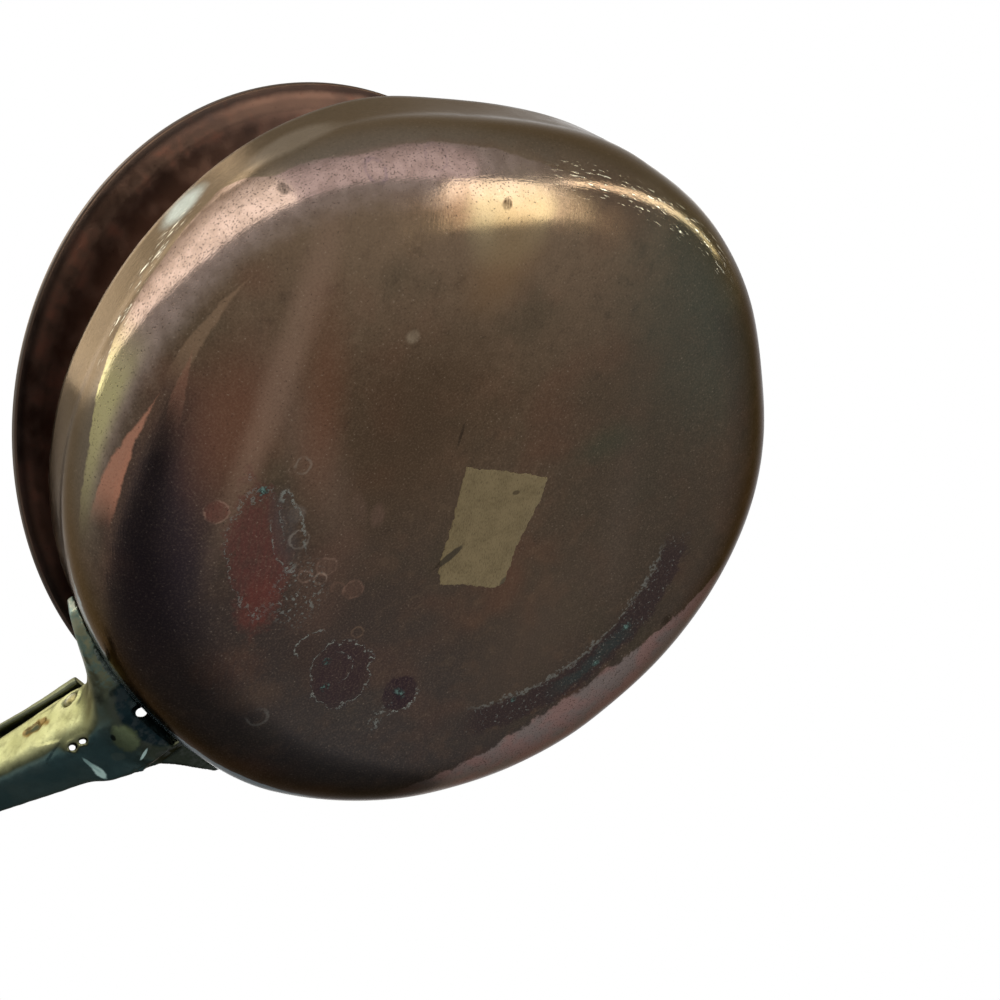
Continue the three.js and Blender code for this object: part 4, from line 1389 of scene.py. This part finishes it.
def make_floor():
    half = FLOOR_HALF / MM
    corners = [[x * half, y * half, -FLOOR_DROP] for x, y in ((-1, -1), (1, -1), (1, 1), (-1, 1))]
    mesh = mesh_from("floor", corners, [(0, 1, 2, 3)])
    material = bpy.data.materials.new("pale_floor")
    tree = Tree(material, "ShaderNodeOutputMaterial")
    seen = tree.add("ShaderNodeLightPath", output="Is Camera Ray")
    behind = tree.add("ShaderNodeNewGeometry", output="Backfacing")
    solid = tree.math("SUBTRACT", seen, behind, use_clamp=True)
    clear = tree.add("ShaderNodeBsdfTransparent")
    pale = tree.add("ShaderNodeBsdfDiffuse", {"Color": FLOOR_COLOUR})
    tree.show(tree.add("ShaderNodeMixShader", {0: solid, 1: clear, 2: pale}))
    mesh.materials.append(material)
    add_object("floor", mesh)


def make_world():
    world = bpy.data.worlds.new("studio")
    tree = Tree(world, "ShaderNodeOutputWorld")
    seen, gloss, clear = [tree.add("ShaderNodeLightPath", output=f"Is {ray} Ray")
                          for ray in ("Camera", "Glossy", "Transmission")]
    levels = {"Value": seen.larger(gloss).larger(clear), "To Min": FILL_STRENGTH, "To Max": WHITE_STRENGTH}
    strength = tree.add("ShaderNodeMapRange", levels)
    tree.show(tree.add("ShaderNodeBackground", {"Color": (255, 255, 255), "Strength": strength}))
    bpy.context.scene.world = world


# Each lamp is its name, azimuth, elevation, distance and size in metres, and power in watts
LAMPS = (
    ("key_lamp", 60.0, 55.0, 1.6, 1.1, 14.0),
    ("fill_lamp", -120.0, 40.0, 1.8, 1.3, 8.0),
)


def make_lamps():
    for name, azimuth, elevation, distance, size, power in LAMPS:
        data = bpy.data.lights.new(name, "AREA")
        data.shape = "SQUARE"
        data.size = size
        data.energy = power
        lamp = add_object(name, data)
        direction = toward(azimuth, elevation)
        lamp.location = direction * distance
        lamp.rotation_mode = "QUATERNION"
        lamp.rotation_quaternion = direction.to_track_quat("Z", "Y")
        lamp.visible_camera = False


# Reflector cards, seen only in the metal's gloss. Each is its name, colour, glow in rows from its lower edge
# up, and columns of azimuth with the lowest and highest elevation
CARD_DISTANCE = 1.4
CARDS = (
    ("window_card", (255, 250, 244), (4.6, 4.6, 4.2, 3.1, 2.0, 1.5),
     ((38, 45, 57), (44, 40, 57), (48, 35, 58), (53, 31, 60), (58, 28, 60), (66, 22, 62), (74, 15, 66),
      (80, 11, 68), (88, 5, 64), (94, 1, 56), (99, -3, 44))),
    ("sill_card", (255, 246, 252), (2.1, 2.1, 1.95, 1.6, 1.1),
     ((99, -3, 44), (107, -7, 26), (120, -14, 20), (131, -20, 18), (138, -24, 16), (144, -24, 6))),
    ("glow_card", (255, 250, 232), (3.5, 5.5, 6.5, 6.5, 6.0),
     ((138, -40, -25), (145, -50, -23), (152, -58, -21), (160, -62, -20), (168, -62, -32),
      (176, -60, -42))),
    ("streak_card", (255, 252, 240), (9.0, 15.0, 9.0),
     ((160, -18, -14), (167, -11, -6), (173, -7, -1), (180, -2, 5), (188, 3, 9), (194, 5, 10),
      (200, 6, 10))),
    ("rim_card", (240, 250, 255), (3.0, 4.0, 3.0),
     ((-68, 38, 50), (-60, 41, 51), (-52, 42, 52))),
    ("sliver_card", (255, 245, 240), (1.2, 1.2),
     ((2, 1, 12), (9, -5, 4), (17, -14, -4), (25, -20, -9), (34, -24, -15), (41, -27, -21),
      (48, -27, -23))),
    ("dark_card", (240, 245, 255), (0.85, 0.5, 0.3, 0.3, 0.3, 0.4, 0.6),
     ((-72, -44, 24), (-58, -56, 34), (-50, -60, 40), (-30, -62, 30), (-12, -62, 16), (-1, -60, 8),
      (9, -58, -6), (18, -56, -16), (27, -54, -27), (37, -46, -30), (46, -36, -29))),
    ("dim_card", (250, 250, 255), (0.9, 0.75, 0.65, 0.65, 0.7, 0.8),
     ((-150, -28, 44), (-135, -36, 44), (-120, -40, 40), (-106, -42, 40), (-92, -44, 34), (-72, -44, 24))),
)


def make_card(name, tint, strengths, columns):
    points = []
    faces = []
    rows = len(strengths)
    for azimuth, low, high in columns:
        for share in np.linspace(0.0, 1.0, rows):
            points.append(list(toward(azimuth, low + (high - low) * share) * (CARD_DISTANCE / MM)))
    for i in range(len(columns) - 1):
        for j in range(rows - 1):
            a = i * rows + j
            faces.append((a, a + 1, a + rows + 1, a + rows))
    mesh = mesh_from(name, points, faces)
    mark(mesh, "glow", list(strengths) * len(columns))
    material = bpy.data.materials.new(name)
    tree = Tree(material, "ShaderNodeOutputMaterial")
    glow = tree.add("ShaderNodeAttribute", output="Fac", attribute_name="glow")
    tree.show(tree.add("ShaderNodeEmission", {"Color": tint, "Strength": glow}))
    mesh.materials.append(material)
    card = add_object(name, mesh)
    for ray in ("camera", "diffuse", "transmission", "volume_scatter", "shadow"):
        setattr(card, "visible_" + ray, False)


def make_stage():
    make_floor()
    make_world()
    make_lamps()
    for card in CARDS:
        make_card(*card)


build_object()
make_camera()
make_stage()

scene = bpy.context.scene
scene.view_settings.view_transform = "Standard"
